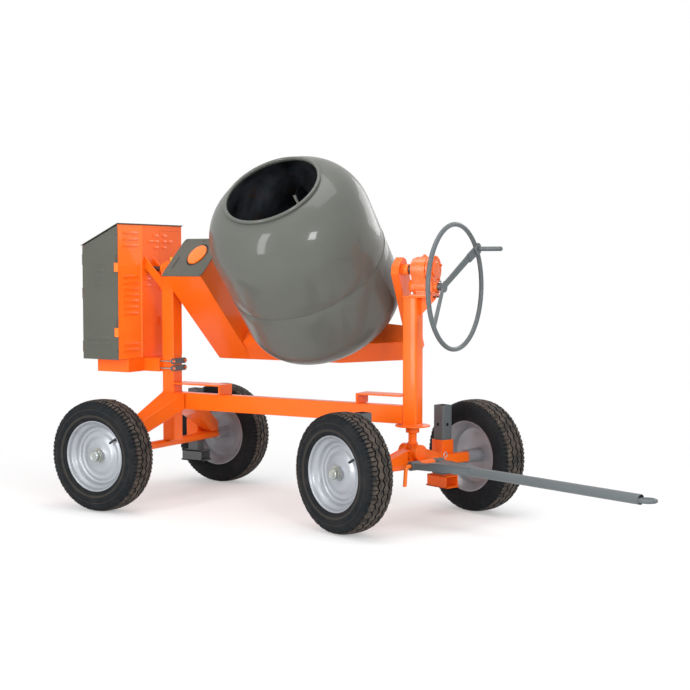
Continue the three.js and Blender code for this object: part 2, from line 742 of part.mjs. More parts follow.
function addDrive() {
  const pulleyX = HOUSING_FRONT - 22 - 30;
  const shaftLine = frameAt(machine, 0, 0, TILT_HEIGHT);
  const groove = 3;
  const pulley = join(
    rod('x', DRIVE_PULLEY - groove, pulleyX, pulleyX + BELT_WIDTH, [0, 0], 24),
    rod('x', DRIVE_PULLEY + 6, pulleyX - 5, pulleyX, [0, 0], 24),
    rod('x', DRIVE_PULLEY + 6, pulleyX + BELT_WIDTH, pulleyX + BELT_WIDTH + 5, [0, 0], 24),
    rod('x', SHAFT, pulleyX - 30, SPROCKET_X + CHAIN_WIDTH + 12, [0, 0]),
    rod('x', SPROCKET_UPPER, SPROCKET_X, SPROCKET_X + CHAIN_WIDTH, [0, 0], 18),
  );
  addPart(shaftLine, 'drive_shaft', pulley, iron());

  const motorPulley = join(
    rod('x', MOTOR_PULLEY - groove, pulleyX, pulleyX + BELT_WIDTH, [0, 0], 24),
    rod('x', MOTOR_PULLEY + 6, pulleyX - 5, pulleyX, [0, 0], 24),
    rod('x', MOTOR_PULLEY + 6, pulleyX + BELT_WIDTH, pulleyX + BELT_WIDTH + 5, [0, 0], 24),
    rod('x', 12, pulleyX - 36, pulleyX, [0, 0], 14),
  );
  addPart(frameAt(machine, 0, 0, MOTOR_HEIGHT), 'motor_pulley', motorPulley, iron());

  const beltLoop = (lift) => loopOutline(
    DRIVE_PULLEY - groove + lift, TILT_HEIGHT, MOTOR_PULLEY - groove + lift, MOTOR_HEIGHT,
  );
  const beltEnd = pulleyX + BELT_WIDTH - RUN;
  const belt = slab('x', beltLoop(BELT_THICKNESS), pulleyX + RUN, beltEnd, [beltLoop(RUN)]);
  addPart(machine, 'drive_belt', belt, paint('rubber', 0.8, 0));

  const motorEnd = pulleyX - 12;
  const floor = HOUSING_BOTTOM + SHEET + GAP;
  const motor = cut(
    join(
      rod('x', MOTOR_RADIUS, motorEnd - 168, motorEnd, [0, MOTOR_HEIGHT], 28),
      block(motorEnd - 150, motorEnd - 20, -70, 70, floor, MOTOR_HEIGHT - 40),
    ),
    hole('x', 12 + RUN, motorEnd - 40, motorEnd + 1, [0, MOTOR_HEIGHT], 14),
  );
  addPart(machine, 'motor', motor, paint('grey', 0.5, 0.2));

  const chainLoop = (lift) => loopOutline(
    SPROCKET_UPPER + lift, 0, SPROCKET_LOWER + lift, LAY_SHAFT_LEVEL,
  );
  const chainEnd = SPROCKET_X + CHAIN_WIDTH;
  const chain = slab('x', chainLoop(CHAIN_THICKNESS), SPROCKET_X, chainEnd, [chainLoop(RUN)]);
  addPart(cradle, 'drive_chain', chain, iron());

  const pinionStart = DRUM_X - CROWN_RADIUS;
  const layFrame = frameAt(cradle, 0, 0, LAY_SHAFT_LEVEL);
  const layShaft = join(
    rod('x', LAY_SHAFT, SPROCKET_X - 24, pinionStart + 44, [0, 0], 16),
    rod('x', SPROCKET_LOWER, SPROCKET_X, SPROCKET_X + CHAIN_WIDTH, [0, 0], 18),
    rod('x', CROWN_PINION, pinionStart, pinionStart + 34, [0, 0], 18),
  );
  addPart(layFrame, 'lay_shaft', layShaft, iron());
}

// ---------------------------------------------------------------- drum

// Outer profile of the drum from its flat bottom to the mouth, as [radius, height].
function drumProfile() {
  const panRound = 5;
  const bottom = [[PAN_FLAT, PAN_BOTTOM]];
  const spanR = DRUM_RADIUS - PAN_FLAT;
  const spanZ = PAN_SIDE - PAN_BOTTOM;
  for (let step = 1; step <= panRound; step += 1) {
    const angle = (90 * step * DEG) / panRound;
    bottom.push([PAN_FLAT + spanR * Math.sin(angle), PAN_SIDE - spanZ * Math.cos(angle)]);
  }
  const shoulder = [];
  const lip = MOUTH_RADIUS + MOUTH_ROLL;
  const shoulderRound = 5;
  for (let step = 0; step <= shoulderRound; step += 1) {
    const along = step / shoulderRound;
    const angle = 90 * along * DEG;
    const bulge = Math.pow(Math.cos(angle), 0.85);
    shoulder.push([
      lip + (DRUM_RADIUS - lip) * bulge,
      DRUM_SHOULDER + (MOUTH_HEIGHT - DRUM_SHOULDER) * (0.35 * along + 0.65 * Math.sin(angle)),
    ]);
  }
  return { bottom, shoulder };
}

function shellOf(outer) {
  const inner = outer.map(([radius, z], index) => {
    const before = outer[Math.max(index - 1, 0)];
    const after = outer[Math.min(index + 1, outer.length - 1)];
    const run = Math.hypot(after[0] - before[0], after[1] - before[1]);
    const normal = [(after[1] - before[1]) / run, -(after[0] - before[0]) / run];
    return [radius - DRUM_WALL * normal[0], z - DRUM_WALL * normal[1]];
  });
  return [...outer, ...inner.reverse()];
}

function addDrum() {
  const drum = frameAt(cradle, DRUM_X, 0, 0);
  const { bottom, shoulder } = drumProfile();
  const lower = [...bottom, [DRUM_RADIUS, DRUM_SEAM - GAP]];
  const upper = [[DRUM_RADIUS, DRUM_SEAM], ...shoulder];
  const pan = join(
    turned(shellOf(lower), DRUM_SIDES),
    cut(
      rod('z', PAN_FLAT + 1, PAN_BOTTOM, PAN_BOTTOM + DRUM_WALL, [0, 0], DRUM_SIDES),
      hole('z', DRUM_AXLE + GAP, PAN_BOTTOM - 1, PAN_BOTTOM + DRUM_WALL + 1, [0, 0], 16),
    ),
  );
  addPart(drum, 'drum_lower', pan, grey());
  addPart(drum, 'drum_upper', turned(shellOf(upper), DRUM_SIDES), grey());

  const rollZ = MOUTH_HEIGHT + MOUTH_ROLL * Math.sin(60 * DEG) + GAP;
  const roll = new THREE.TorusGeometry(MOUTH_RADIUS + MOUTH_ROLL, MOUTH_ROLL, 6, DRUM_SIDES);
  addPart(drum, 'drum_rim', roll.translate(0, 0, rollZ), grey());

  const axle = join(
    rod('z', DRUM_AXLE, CROWN_LEVEL, PAN_BOTTOM + 34, [0, 0], 16),
    rod('z', CROWN_RADIUS, CROWN_LEVEL, CROWN_LEVEL + CROWN_THICKNESS, [0, 0], 32),
    rod('z', DRUM_AXLE + 18, PAN_BOTTOM + DRUM_WALL + GAP, PAN_BOTTOM + 24, [0, 0], 16),
    rod('z', 20, PAN_BOTTOM + 30, PAN_BOTTOM + 54, [0, 0], 6),
  );
  addPart(drum, 'drum_axle', axle, paint('iron', 0.7, 0.4));

  const foot = PAN_SIDE + 20;
  const head = DRUM_SHOULDER - 10;
  const wall = (DRUM_RADIUS - DRUM_WALL) * Math.cos(Math.PI / DRUM_SIDES) - GAP;
  const side = 360 / DRUM_SIDES;
  const twist = side / 2;
  for (let index = 0; index < 2; index += 1) {
    const blade = [];
    for (const [z, turn] of [[foot, -twist], [head, twist]]) {
      for (const thick of [-0.5, 0.5]) {
        for (const reach of [wall, wall - 120]) {
          const angle = (turn + thick) * DEG;
          blade.push([reach * Math.cos(angle), reach * Math.sin(angle), z]);
        }
      }
    }
    const mesh = addPart(drum, `drum_blade_${index + 1}`, hull(blade), iron());
    mesh.rotation.z = index * Math.PI + BLADE_SIDE * side * DEG;
  }
}

// ---------------------------------------------------------------- motor housing

function housingOutline(inset, lift) {
  const back = HOUSING_FRONT - HOUSING_DEPTH;
  return [
    [back + inset, HOUSING_BOTTOM + inset],
    [HOUSING_FRONT - inset, HOUSING_BOTTOM + inset],
    [HOUSING_FRONT - inset, HOUSING_FRONT_TOP + lift],
    [back + inset, HOUSING_REAR_TOP + lift],
  ];
}

function addHousing() {
  const back = HOUSING_FRONT - HOUSING_DEPTH;
  const doorEdge = HOUSING_NEAR + SHEET + GAP;
  const flapTop = HOUSING_FRONT_TOP - 30;
  const flapBottom = HOUSING_BOTTOM + 24;
  const flapFar = HOUSING_FAR - 22;
  const shell = cut(
    slab('y', housingOutline(0, 0), doorEdge, HOUSING_FAR),
    slab('y', housingOutline(SHEET, 60), HOUSING_NEAR - 10, HOUSING_FAR - SHEET),
    block(HOUSING_FRONT - SHEET - 1, HOUSING_FRONT + 1, FLAP_EDGE, flapFar, flapBottom, flapTop),
    hole('x', SHAFT + 4, HOUSING_FRONT - SHEET - 1, HOUSING_FRONT + 1, [0, TILT_HEIGHT]),
  );
  addPart(machine, 'housing_shell', shell, orange());

  const slope = (HOUSING_FRONT_TOP - HOUSING_REAR_TOP) / HOUSING_DEPTH;
  const eaves = 6;
  const rearZ = HOUSING_REAR_TOP - slope * eaves + GAP;
  const frontZ = HOUSING_FRONT_TOP + slope * eaves + GAP;
  const roof = [
    [back - eaves, rearZ],
    [HOUSING_FRONT + eaves, frontZ],
    [HOUSING_FRONT + eaves, frontZ + SHEET],
    [back - eaves, rearZ + SHEET],
  ];
  addPart(machine, 'housing_roof', slab('y', roof, HOUSING_NEAR - eaves, HOUSING_FAR + eaves), grey());

  const latches = LATCH_LEVELS.flatMap((level) => [
    block(HOUSING_FRONT - 22, HOUSING_FRONT + 8, HOUSING_NEAR - 10, HOUSING_NEAR + 1, level - 25, level + 25),
    block(
      HOUSING_FRONT + RUN, HOUSING_FRONT + 8, HOUSING_NEAR - 10, HOUSING_NEAR + 22,
      level - 25, level + 25,
    ),
  ]);
  const door = join(slab('y', housingOutline(0, -DOOR_DROP), HOUSING_NEAR, HOUSING_NEAR + SHEET), ...latches);
  addPart(machine, 'housing_door', door, grey());

  const flap = block(
    HOUSING_FRONT - SHEET, HOUSING_FRONT, FLAP_EDGE + RUN, flapFar - RUN, flapBottom + RUN, flapTop - RUN,
  );
  addPart(machine, 'housing_flap', flap, orange());

  const shelfTop = HOUSING_BOTTOM - GAP;
  const columnBack = REAR_COLUMN_X - HALF_COLUMN - GAP;
  const clampY = HALF_COLUMN + 14;
  const studHoles = CLAMP_LEVELS.flatMap((level) => [-clampY, clampY].map(
    (y) => hole('x', 5 + RUN, -60, 20, [y, level], 12),
  ));
  const carrier = cut(
    join(
      block(back + 40, HOUSING_FRONT + 10, -205, 205, shelfTop - CARRIER_HEIGHT, shelfTop),
      block(HOUSING_FRONT + 9, columnBack, -clampY - 14, clampY + 14, shelfTop - CARRIER_HEIGHT, shelfTop),
    ),
    block(back + 46, HOUSING_FRONT + 4, -199, 199, shelfTop - CARRIER_HEIGHT - 1, shelfTop - 6),
    ...studHoles,
  );
  addPart(machine, 'housing_carrier', carrier, orange());

  CLAMP_LEVELS.forEach((level, index) => {
    const face = REAR_COLUMN_FACE + GAP;
    const studs = [-clampY, clampY].flatMap((y) => [
      rod('x', 5, -58, face + 22, [y, level], 12),
      rod('x', 9, face + 9, face + 18, [y, level], 6),
    ]);
    const clamp = join(block(face, face + 10, -clampY - 14, clampY + 14, level - 16, level + 16), ...studs);
    addPart(machine, `housing_clamp_${index + 1}`, clamp, steelGrey());
  });
}

// ---------------------------------------------------------------- steered front end

function addFrontEnd() {
  const steer = frameAt(machine, WHEELBASE, 0, 0);
  steer.rotation.z = STEER_REST * DEG;
  const top = FRONT_COLUMN_BOTTOM - PLATE - GAP;
  const neck = SWING_PIN_HEIGHT + SWING_BOSS + 4;
  const head = cut(
    join(
      rod('z', KINGPIN, top - 20, FRONT_COLUMN_BOTTOM + KINGPIN_RISE),
      rod('z', COLLAR, top - 44, top, [0, 0], 16),
      rod('z', COLLAR - 9, neck, top - 40, [0, 0], 24),
      block(
        -HEAD_HALF_LENGTH, HEAD_HALF_LENGTH, -HEAD_HALF_LENGTH, HEAD_HALF_LENGTH,
        SWING_PIN_HEIGHT - 24, neck + 1,
      ),
    ),
    hole('x', SWING_PIN + RUN, -80, 80, [0, SWING_PIN_HEIGHT]),
  );
  addPart(steer, 'steering_head', head, orange());

  const half = FRONT_TRACK / 2;
  const tubeEnd = half - HUB_BACK - RUN;
  const boxTop = TYRE_RADIUS + AXLE_BOX / 2;
  const ear = HEAD_HALF_LENGTH + RUN;
  const web = [
    [-215, boxTop - 1], [215, boxTop - 1], [70, SWING_PIN_HEIGHT + 14],
    [-70, SWING_PIN_HEIGHT + 14],
  ];
  const legX = -AXLE_BOX / 2 - SLEEVE;
  const sleeves = Object.values(sides).map((way) => block(
    legX - SLEEVE, legX + SLEEVE + 1, way * FRONT_LEG_Y - SLEEVE, way * FRONT_LEG_Y + SLEEVE,
    SLEEVE_BOTTOM - 40, SLEEVE_TOP,
  ));
  const bores = Object.values(sides).map((way) => legBore(legX, way * FRONT_LEG_Y));
  const axle = cut(
    join(
      block(-AXLE_BOX / 2, AXLE_BOX / 2, -tubeEnd, tubeEnd, TYRE_RADIUS - AXLE_BOX / 2, boxTop),
      rod('y', SPINDLE, -half - HUB_FRONT - 12, half + HUB_FRONT + 12, [0, TYRE_RADIUS]),
      slab('x', web, ear, ear + 8),
      slab('x', web, -ear - 8, -ear),
      rod('x', SWING_BOSS, ear, ear + 46, [0, SWING_PIN_HEIGHT], 16),
      rod('x', SWING_BOSS, -ear - 46, -ear, [0, SWING_PIN_HEIGHT], 16),
      rod('x', SWING_PIN, -ear - 10, ear + 10, [0, SWING_PIN_HEIGHT]),
      ...sleeves,
    ),
    ...bores,
  );
  addPart(steer, 'front_axle', axle, orange());
  addDrawbar(steer);
  return { steer, legX };
}

function addDrawbar(steer) {
  const pivot = [HITCH_X, HITCH_HEIGHT];
  const start = AXLE_BOX / 2 + GAP;
  const arm = [
    [start, TYRE_RADIUS - 18], [start, TYRE_RADIUS + 12],
    [HITCH_X, HITCH_HEIGHT + 10], [HITCH_X, HITCH_HEIGHT - 14],
  ];
  const bracket = cut(
    join(
      rod('y', HITCH_SLEEVE, RUN - HITCH_CENTRE_HALF, HITCH_CENTRE_HALF - RUN, pivot),
      slab('y', arm, 6 - HITCH_CENTRE_HALF, HITCH_CENTRE_HALF - 6),
    ),
    hole('y', HITCH_PIN + RUN, -HITCH_HALF, HITCH_HALF, pivot),
  );
  addPart(steer, 'hitch_bracket', bracket, orange());

  const thick = DRAWBAR_TUBE - 8;
  const tubeBore = DRAWBAR_TUBE - 2;
  const neck = HITCH_X + DRAWBAR_NECK;
  const end = HITCH_X + DRAWBAR_REACH;
  const pieces = [];
  for (const way of Object.values(sides)) {
    const [inner, outer] = [way * HITCH_CENTRE_HALF, way * HITCH_HALF].sort((a, b) => a - b);
    pieces.push(rod('y', HITCH_SLEEVE, inner, outer, pivot));
    const plate = [];
    for (const z of [HITCH_HEIGHT - thick, HITCH_HEIGHT + thick]) {
      plate.push([HITCH_X, way * (HITCH_CENTRE_HALF + 6), z], [HITCH_X, way * (HITCH_HALF - 4), z]);
      plate.push([neck, 0, z], [neck, way * (DRAWBAR_TUBE - 4), z]);
    }
    pieces.push(hull(plate));
  }
  const eyeX = end + EYE_RADIUS + 2;
  const eye = new THREE.TorusGeometry(EYE_RADIUS, EYE_WIRE, 6, 20).translate(eyeX, 0, HITCH_HEIGHT);
  const drawbar = cut(
    join(
      ...pieces,
      rod('x', DRAWBAR_TUBE, neck - 60, end, [0, HITCH_HEIGHT]),
      eye,
    ),
    rod('x', DRAWBAR_TUBE - 4, end - 70, end - 8, [0, HITCH_HEIGHT]),
    rod('x', DRAWBAR_TUBE - 8, end - 12, end + 1, [0, HITCH_HEIGHT]),
    hole('y', HITCH_PIN + RUN, -2 * HITCH_HALF, 2 * HITCH_HALF, pivot),
  );
  const web = block(end - 8, end, -6, 6, HITCH_HEIGHT - tubeBore, HITCH_HEIGHT + tubeBore);
  addPart(steer, 'drawbar', join(drawbar, web), steelGrey());

  const near = -HITCH_HALF - 14;
  const handle = wire([
    [HITCH_X, near + 2, HITCH_HEIGHT],
    [HITCH_X, near - 10, HITCH_HEIGHT - 6],
    [HITCH_X, near - 16, HITCH_HEIGHT - 24],
    [HITCH_X, near - 22, HITCH_HEIGHT - 98],
  ], HITCH_PIN, 10, 8);
  const pin = cut(
    join(rod('y', HITCH_PIN, near, HITCH_HALF + 28, pivot), handle),
    rod('z', 3, HITCH_HEIGHT - 20, HITCH_HEIGHT + 20, [HITCH_X, HITCH_HALF + 14], 10),
  );
  addPart(steer, 'hitch_pin', pin, orange());

  const clipY = HITCH_HALF + 14;
  const clip = join(
    rod('z', 2.2, HITCH_HEIGHT - 20, HITCH_HEIGHT + 22, [HITCH_X, clipY], 8),
    wire([
      [HITCH_X, clipY, HITCH_HEIGHT + 20], [HITCH_X, clipY + 2, HITCH_HEIGHT + 40],
      [HITCH_X, clipY + 16, HITCH_HEIGHT + 48], [HITCH_X, clipY + 26, HITCH_HEIGHT + 34],
      [HITCH_X, clipY + 14, HITCH_HEIGHT + 24], [HITCH_X, clipY + 11, HITCH_HEIGHT + HITCH_PIN + 3],
    ], 2.2, 6, 12),
  );
  addPart(steer, 'hitch_clip', clip, zinc());
}

// ---------------------------------------------------------------- wheels

// Closed profiles of [radius, offset from the wheel's middle], offsets outwards being positive.
function tyreProfile() {
  const outside = [
    [BEAD_RADIUS, RIM_HALF_WIDTH + 2],
    [BEAD_RADIUS + 20, TYRE_HALF_WIDTH - 3],
    [TYRE_RADIUS - 52, TYRE_HALF_WIDTH],
    [TYRE_RADIUS - 16, TYRE_HALF_WIDTH - 10],
    [TYRE_RADIUS, TREAD_HALF_WIDTH],
  ];
  const inside = [
    [TYRE_RADIUS - 22, TREAD_HALF_WIDTH - 6],
    [BEAD_RADIUS + 12, RIM_HALF_WIDTH - 4],
    [BEAD_RADIUS, RIM_HALF_WIDTH - 10],
  ];
  const mirrored = (list) => list.map(([radius, z]) => [radius, -z]);
  return [...outside, ...mirrored(outside).reverse(), ...mirrored(inside).reverse(), ...inside];
}

function rimProfile() {
  const edge = BEAD_RADIUS - GAP;
  const well = edge - 30;
  const sheet = 7;
  return [
    [SPINDLE + RUN, HUB_FRONT], [HUB_RADIUS, HUB_FRONT], [HUB_RADIUS + 2, 28], [84, 28], [118, 12],
    [well - sheet, 12], [edge - 6, RIM_HALF_WIDTH], [edge, RIM_HALF_WIDTH], [well, 14],
    [well, -34], [edge, -RIM_HALF_WIDTH], [edge - 8, -RIM_HALF_WIDTH], [well - sheet, -30],
    [well - sheet, 5], [118, 5], [80, 20], [HUB_RADIUS, 20], [HUB_RADIUS, -HUB_BACK],
    [SPINDLE + RUN, -HUB_BACK],
  ];
}

function addWheel(parent, name, y, way) {
  const wheel = frameAt(parent, 0, y, TYRE_RADIUS);
  wheel.rotation.x = way * -90 * DEG;
  const facet = Math.PI / WHEEL_SIDES;
  const spread = 1 / Math.cos(facet);
  const [tyre, rim] = [tyreProfile(), rimProfile()].map((profile) => {
    const corners = profile.map(([radius, z]) => [radius * spread, z]);
    return turned(corners, WHEEL_SIDES).rotateZ(facet);
  });
  addPart(wheel, `tyre_${name}`, tyre, paint('rubber', 0.85, 0));
  addPart(wheel, `rim_${name}`, rim, paint('silver', 0.4, 0.5));
  const cap = turned([
    [SPINDLE + 1, HUB_FRONT + GAP], [CAP_RADIUS, HUB_FRONT + GAP], [CAP_RADIUS, CAP_FRONT - 8],
    [CAP_RADIUS - 6, CAP_FRONT], [0, CAP_FRONT], [0, HUB_FRONT + 16], [SPINDLE + 1, HUB_FRONT + 16],
  ], 16);
  addPart(wheel, `hub_cap_${name}`, cap, zinc());
}

// ---------------------------------------------------------------- stabiliser legs

function addLeg(parent, name, x, y) {
  const inner = LEG / 2 - LEG_WALL;
  const holes = [
    rod('x', LEG_HOLE, x - LEG, x + LEG, [y, LEG_HOLE_HEIGHT], 14),
    rod('y', LEG_HOLE, y - LEG, y + LEG, [x, LEG_HOLE_HEIGHT], 14),
  ];
  const leg = cut(
    join(
      block(x - LEG / 2, x + LEG / 2, y - LEG / 2, y + LEG / 2, FOOT_TOP - 1, LEG_TOP),
      block(
        x - FOOT_LENGTH / 2, x + FOOT_LENGTH / 2, y - FOOT_WIDTH / 2, y + FOOT_WIDTH / 2,
        FOOT_BOTTOM, FOOT_TOP,
      ),
    ),
    block(x - inner, x + inner, y - inner, y + inner, FOOT_TOP, LEG_TOP + 1),
    block(
      x - FOOT_LENGTH, x + FOOT_LENGTH, y - FOOT_WIDTH / 2 + 6, y + FOOT_WIDTH / 2 - 6,
      FOOT_BOTTOM + 8, FOOT_TOP - 8,
    ),
    ...holes,
  );
  addPart(parent, `leg_${name}`, leg, steelGrey());
}

// ---------------------------------------------------------------- the machine

addFrame();
addRearAxle();
addForkPockets();
addBearing();
addGearbox();
addHandwheel();
addCradle();
addDrive();
addDrum();
addHousing();
const { steer, legX } = addFrontEnd();
for (const [side, way] of Object.entries(sides)) {
  addWheel(machine, `rear_${side}`, (way * REAR_TRACK) / 2, way);
  addWheel(steer, `front_${side}`, (way * FRONT_TRACK) / 2, way);
  addLeg(machine, `rear_${side}`, REAR_LEG_X, way * REAR_LEG_Y);
  addLeg(steer, `front_${side}`, legX, way * FRONT_LEG_Y);
}

machine.updateMatrixWorld(true);
const footprint = new THREE.Box3().setFromObject(machine, true);
machine.position.x = -(footprint.min.x + footprint.max.x) / 2;
machine.position.y = -(footprint.min.y + footprint.max.y) / 2;
machine.position.z = -footprint.min.z;

export default machine;
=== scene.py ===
"""Looks for a towable tilting-drum concrete mixer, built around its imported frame.

Lengths in the shape code are millimetres. They are laid out from the point on the
ground under the rear axle, with X towards the drawbar and Z up, or from a local
frame that is named where it is used. The pieces end up in metres in the row's frame.
"""

import json
import math

import bmesh
import bpy
from mathutils import Matrix, Vector, noise


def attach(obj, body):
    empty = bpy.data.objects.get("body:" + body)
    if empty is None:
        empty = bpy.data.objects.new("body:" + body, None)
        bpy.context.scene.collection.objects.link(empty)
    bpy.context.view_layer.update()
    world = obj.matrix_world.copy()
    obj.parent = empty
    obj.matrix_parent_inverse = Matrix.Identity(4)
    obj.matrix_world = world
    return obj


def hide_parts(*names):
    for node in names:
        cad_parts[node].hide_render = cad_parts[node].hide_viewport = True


bl_info = {
    "name": "Concrete Mixer",
    "version": (1, 0, 0),
    "blender": (4, 5, 0),
    "location": "View3D > Sidebar > Mixer",
    "description": "Builds a towable tilting-drum concrete mixer round its frame",
    "category": "Add Mesh",
}

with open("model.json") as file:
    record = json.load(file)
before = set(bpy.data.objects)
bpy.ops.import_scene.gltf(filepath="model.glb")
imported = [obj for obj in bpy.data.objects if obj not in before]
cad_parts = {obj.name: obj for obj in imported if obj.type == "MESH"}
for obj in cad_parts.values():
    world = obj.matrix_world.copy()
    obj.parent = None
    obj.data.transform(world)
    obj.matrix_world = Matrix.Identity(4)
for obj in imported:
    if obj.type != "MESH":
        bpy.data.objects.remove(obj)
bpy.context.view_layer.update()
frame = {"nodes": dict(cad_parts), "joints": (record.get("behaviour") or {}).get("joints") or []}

MM = 0.001
SOFT_LIGHT = 0.68  # strength of the studio's even light
FLOOR_REACH = 14.0  # metres, as the rest of the studio
FLOOR_FADE = (1.6, 3.4)  # where the floor starts and ends fading to white
LENS = 68.54  # millimetres
CAMERA_SIDE = 0.332
CAMERA_BACK = 7.102
CAMERA_HEIGHT = 1.3234
CAMERA_PITCH = 86.48  # degrees from straight down

# ------------------------------------------------------------------ sizes, in millimetres

COLUMN = 80  # square posts
WHEELBASE = 1584
REAR_TRACK = 1119
FRONT_TRACK = 938
REAR_COLUMN_X = 45
BEAM_BOTTOM = 504
BEAM_TOP = 598
FRONT_POST_BOTTOM = 500
FRONT_POST_TOP = 1154
TURNTABLE = 90  # radius
AXLE_HEIGHT = 300
TYRE_RADIUS = 300
HUB_BACK = 78
HUB_FRONT = 44
SPINDLE = 15  # radius
SPINDLE_END = HUB_FRONT + 12  # past the middle of the tyre
SWING_HEIGHT = 360
HITCH_X = 100
HITCH_HEIGHT = 308
DRAWBAR_TUBE = 24  # radius
TUBE_END = 1430
LEG = 70  # square tube
LEG_WALL = 5
SLEEVE = 41.5  # half width
LEG_TOP = 578
REAR_LEG = (-90, 405)
FRONT_LEG = (-66.5, 285)
TILT_HEIGHT = 1297
ARM_LEFT = 110
ARM_RIGHT = 370
ARM_HALF = 150
ARM_TOP = 85
ARM_STEP = 30
ARM_FOOT_HALF = 106
CROSS_BOTTOM = -612
CROSS_TOP = -470
SLIM_WIDTH = 46
SLIM_END = 1536
SLIM_LEAN = 110
SLIM_HALF = 58
SLIM_TOP = 54
SLIM_BEVEL = 24
SLIM_BEVEL_RISE = 36
DRUM_X = 964
DRUM_RADIUS = 437
DRUM_WALL = 5
DRUM_SEAM = 42
DRUM_SHOULDER = 262
MOUTH_HEIGHT = 536
MOUTH_LIP = 256  # radius to the middle of the rolled edge
MOUTH_ROLL = 9
PAN_FLAT = 190
PAN_BOTTOM = -420
PAN_SIDE = -205
CROWN_LEVEL = -512
BLADE_TURN = 102.86  # degrees from +X
BLADE_TWIST = 6.43
CASE_START = 1596
CASE_END = 1704
PINION_HEIGHT = 1209.5
HAND_RING = 313
HAND_TUBE = 12
HAND_PLANE = 1824
CRANK_TURN = 38  # degrees
HOUSING_FRONT = -116
HOUSING_BACK = -370
HOUSING_NEAR = -280
HOUSING_BOTTOM = 789
FRONT_TOP = 1546
REAR_TOP = 1430
FLAP_EDGE = 100
PULLEY_X = -168
MOTOR_HEIGHT = 915
TREAD_SWING = 6.0  # of the zigzag grooves to either side
SMOOTH, RUNNING, SCUFFED = 0, 1, 2  # the tyre's finishes, in order
SCUFF_RINGS = (209, 250)
SLEEVE_BORE = 35.5  # half width
SLEEVE_TOP = 395
LEG_CORNER = 7
LEG_HOLE = 476  # height of the pin holes
FOOT_TOP = 206
FOOT_SOLE = 142
GUSSET_FOOT = 1062
PLATE_END = 1716  # front end of the gearbox's plate
CASE_BOTTOM = 1162.3
FLANGE_TOP = 1171
LATCHES = (1306, 943)
KNUCKLES = (1198, 994)
ROOF_GAP = 6  # between the side door and the roof
LID_CENTRE = (260.8, 18)
BLADE_FOOT = -185
BLADE_RISE = 437
BLADE_EDGE = 429


def joint(name):
    """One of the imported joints, by its name."""
    return next(found for found in frame["joints"] if found["name"] == name)


def seat(name):
    return Vector(joint(name)["pos_m"])


GROUND = Matrix.Translation((seat("wheel_rear_near_roll").x, 0, 0))
_lean = Vector(joint("drum_spin")["axis"])
TILT = math.atan2(-_lean.y, _lean.z)
CRADLE = GROUND @ Matrix.Translation((0, 0, seat("cradle_tilt").z)) @ Matrix.Rotation(TILT, 4, "X")
DRUM = Matrix.Translation(seat("drum_spin")) @ Matrix.Rotation(TILT, 4, "X")
_heading = Vector(joint("axle_swing")["axis"])
STEERED = Matrix.Translation((seat("steering").x, 0, 0)) @ Matrix.Rotation(
    math.atan2(_heading.y, _heading.x), 4, "Z"
)


# ------------------------------------------------------------------ shapes


def spot(axis, along, a, b):
    """The point at a place on one axis and at a and b on the other two."""
    return {"x": (along, a, b), "y": (a, along, b), "z": (a, b, along)}[axis]


def turns(count, start=0.0, sweep=math.tau):
    return [start + sweep * index / count for index in range(count)]


def skin(bm, rings, joined=False, finish=0):
    """Faces between neighbouring rings, and caps on the first and last if they don't join."""
    pairs = list(zip(rings, rings[1:]))
    if joined:
        pairs.append((rings[-1], rings[0]))
    made = []
    for low, high in pairs:
        count = max(len(low), len(high))
        for index in range(count):
            after = (index + 1) % count
            corners = [low[index % len(low)], low[after % len(low)]]
            corners += [high[after % len(high)], high[index % len(high)]]
            corners = list(dict.fromkeys(corners))
            if len(corners) > 2:
                made.append(bm.faces.new(corners))
    if not joined:
        made += [bm.faces.new(ring) for ring in (rings[0], rings[-1]) if len(ring) > 2]
    for face in made:
        face.material_index = finish
    return made


def band(bm, low, high, finish=0):
    """Faces between two closed rings with as many points each."""
    for index in range(len(low)):
        after = (index + 1) % len(low)
        corners = [low[index], low[after], high[after], high[index]]
        bm.faces.new(corners).material_index = finish


def prism(bm, axis, outline, start, end, finish=0):
    """A flat outline pushed along an axis."""
    rings = [[bm.verts.new(spot(axis, along, *point)) for point in outline] for along in (start, end)]
    return skin(bm, rings, finish=finish)


def box(bm, x, y, z, finish=0):
    """A block between the two ends on each axis."""
    outline = [(x[0], y[0]), (x[1], y[0]), (x[1], y[1]), (x[0], y[1])]
    return prism(bm, "z", outline, *z, finish=finish)


def hollow(bm, axis, outer, inner, start, end, finish=0):
    """A tube between two outlines with as many points each."""
    places = ((outer, start), (outer, end), (inner, end), (inner, start))
    rings = [[bm.verts.new(spot(axis, along, *point)) for point in outline] for outline, along in places]
    return skin(bm, rings, joined=True, finish=finish)


def lathe(bm, axis, profile, at=(0, 0), sides=64, joined=False, finish=0):
    """A profile of radius and place along the axis, turned about that axis."""
    rings = []
    for radius, along in profile:
        if radius < 1e-4:
            rings.append([bm.verts.new(spot(axis, along, *at))])
            continue
        around = [(at[0] + radius * math.cos(t), at[1] + radius * math.sin(t)) for t in turns(sides)]
        rings.append([bm.verts.new(spot(axis, along, *point)) for point in around])
    return skin(bm, rings, joined, finish)


def rod(bm, axis, radius, start, end, at=(0, 0), sides=40, chamfer=1.0, bore=0.0, finish=0):
    """A round bar or, with a bore, a round tube, with a small chamfer at each end."""
    edge = radius - chamfer
    profile = [(edge, start), (radius, start + chamfer), (radius, end - chamfer), (edge, end)]
    if bore:
        return lathe(bm, axis, [(bore, start), *profile, (bore, end)], at, sides, True, finish)
    return lathe(bm, axis, [(0, start), *profile, (0, end)], at, sides, False, finish)


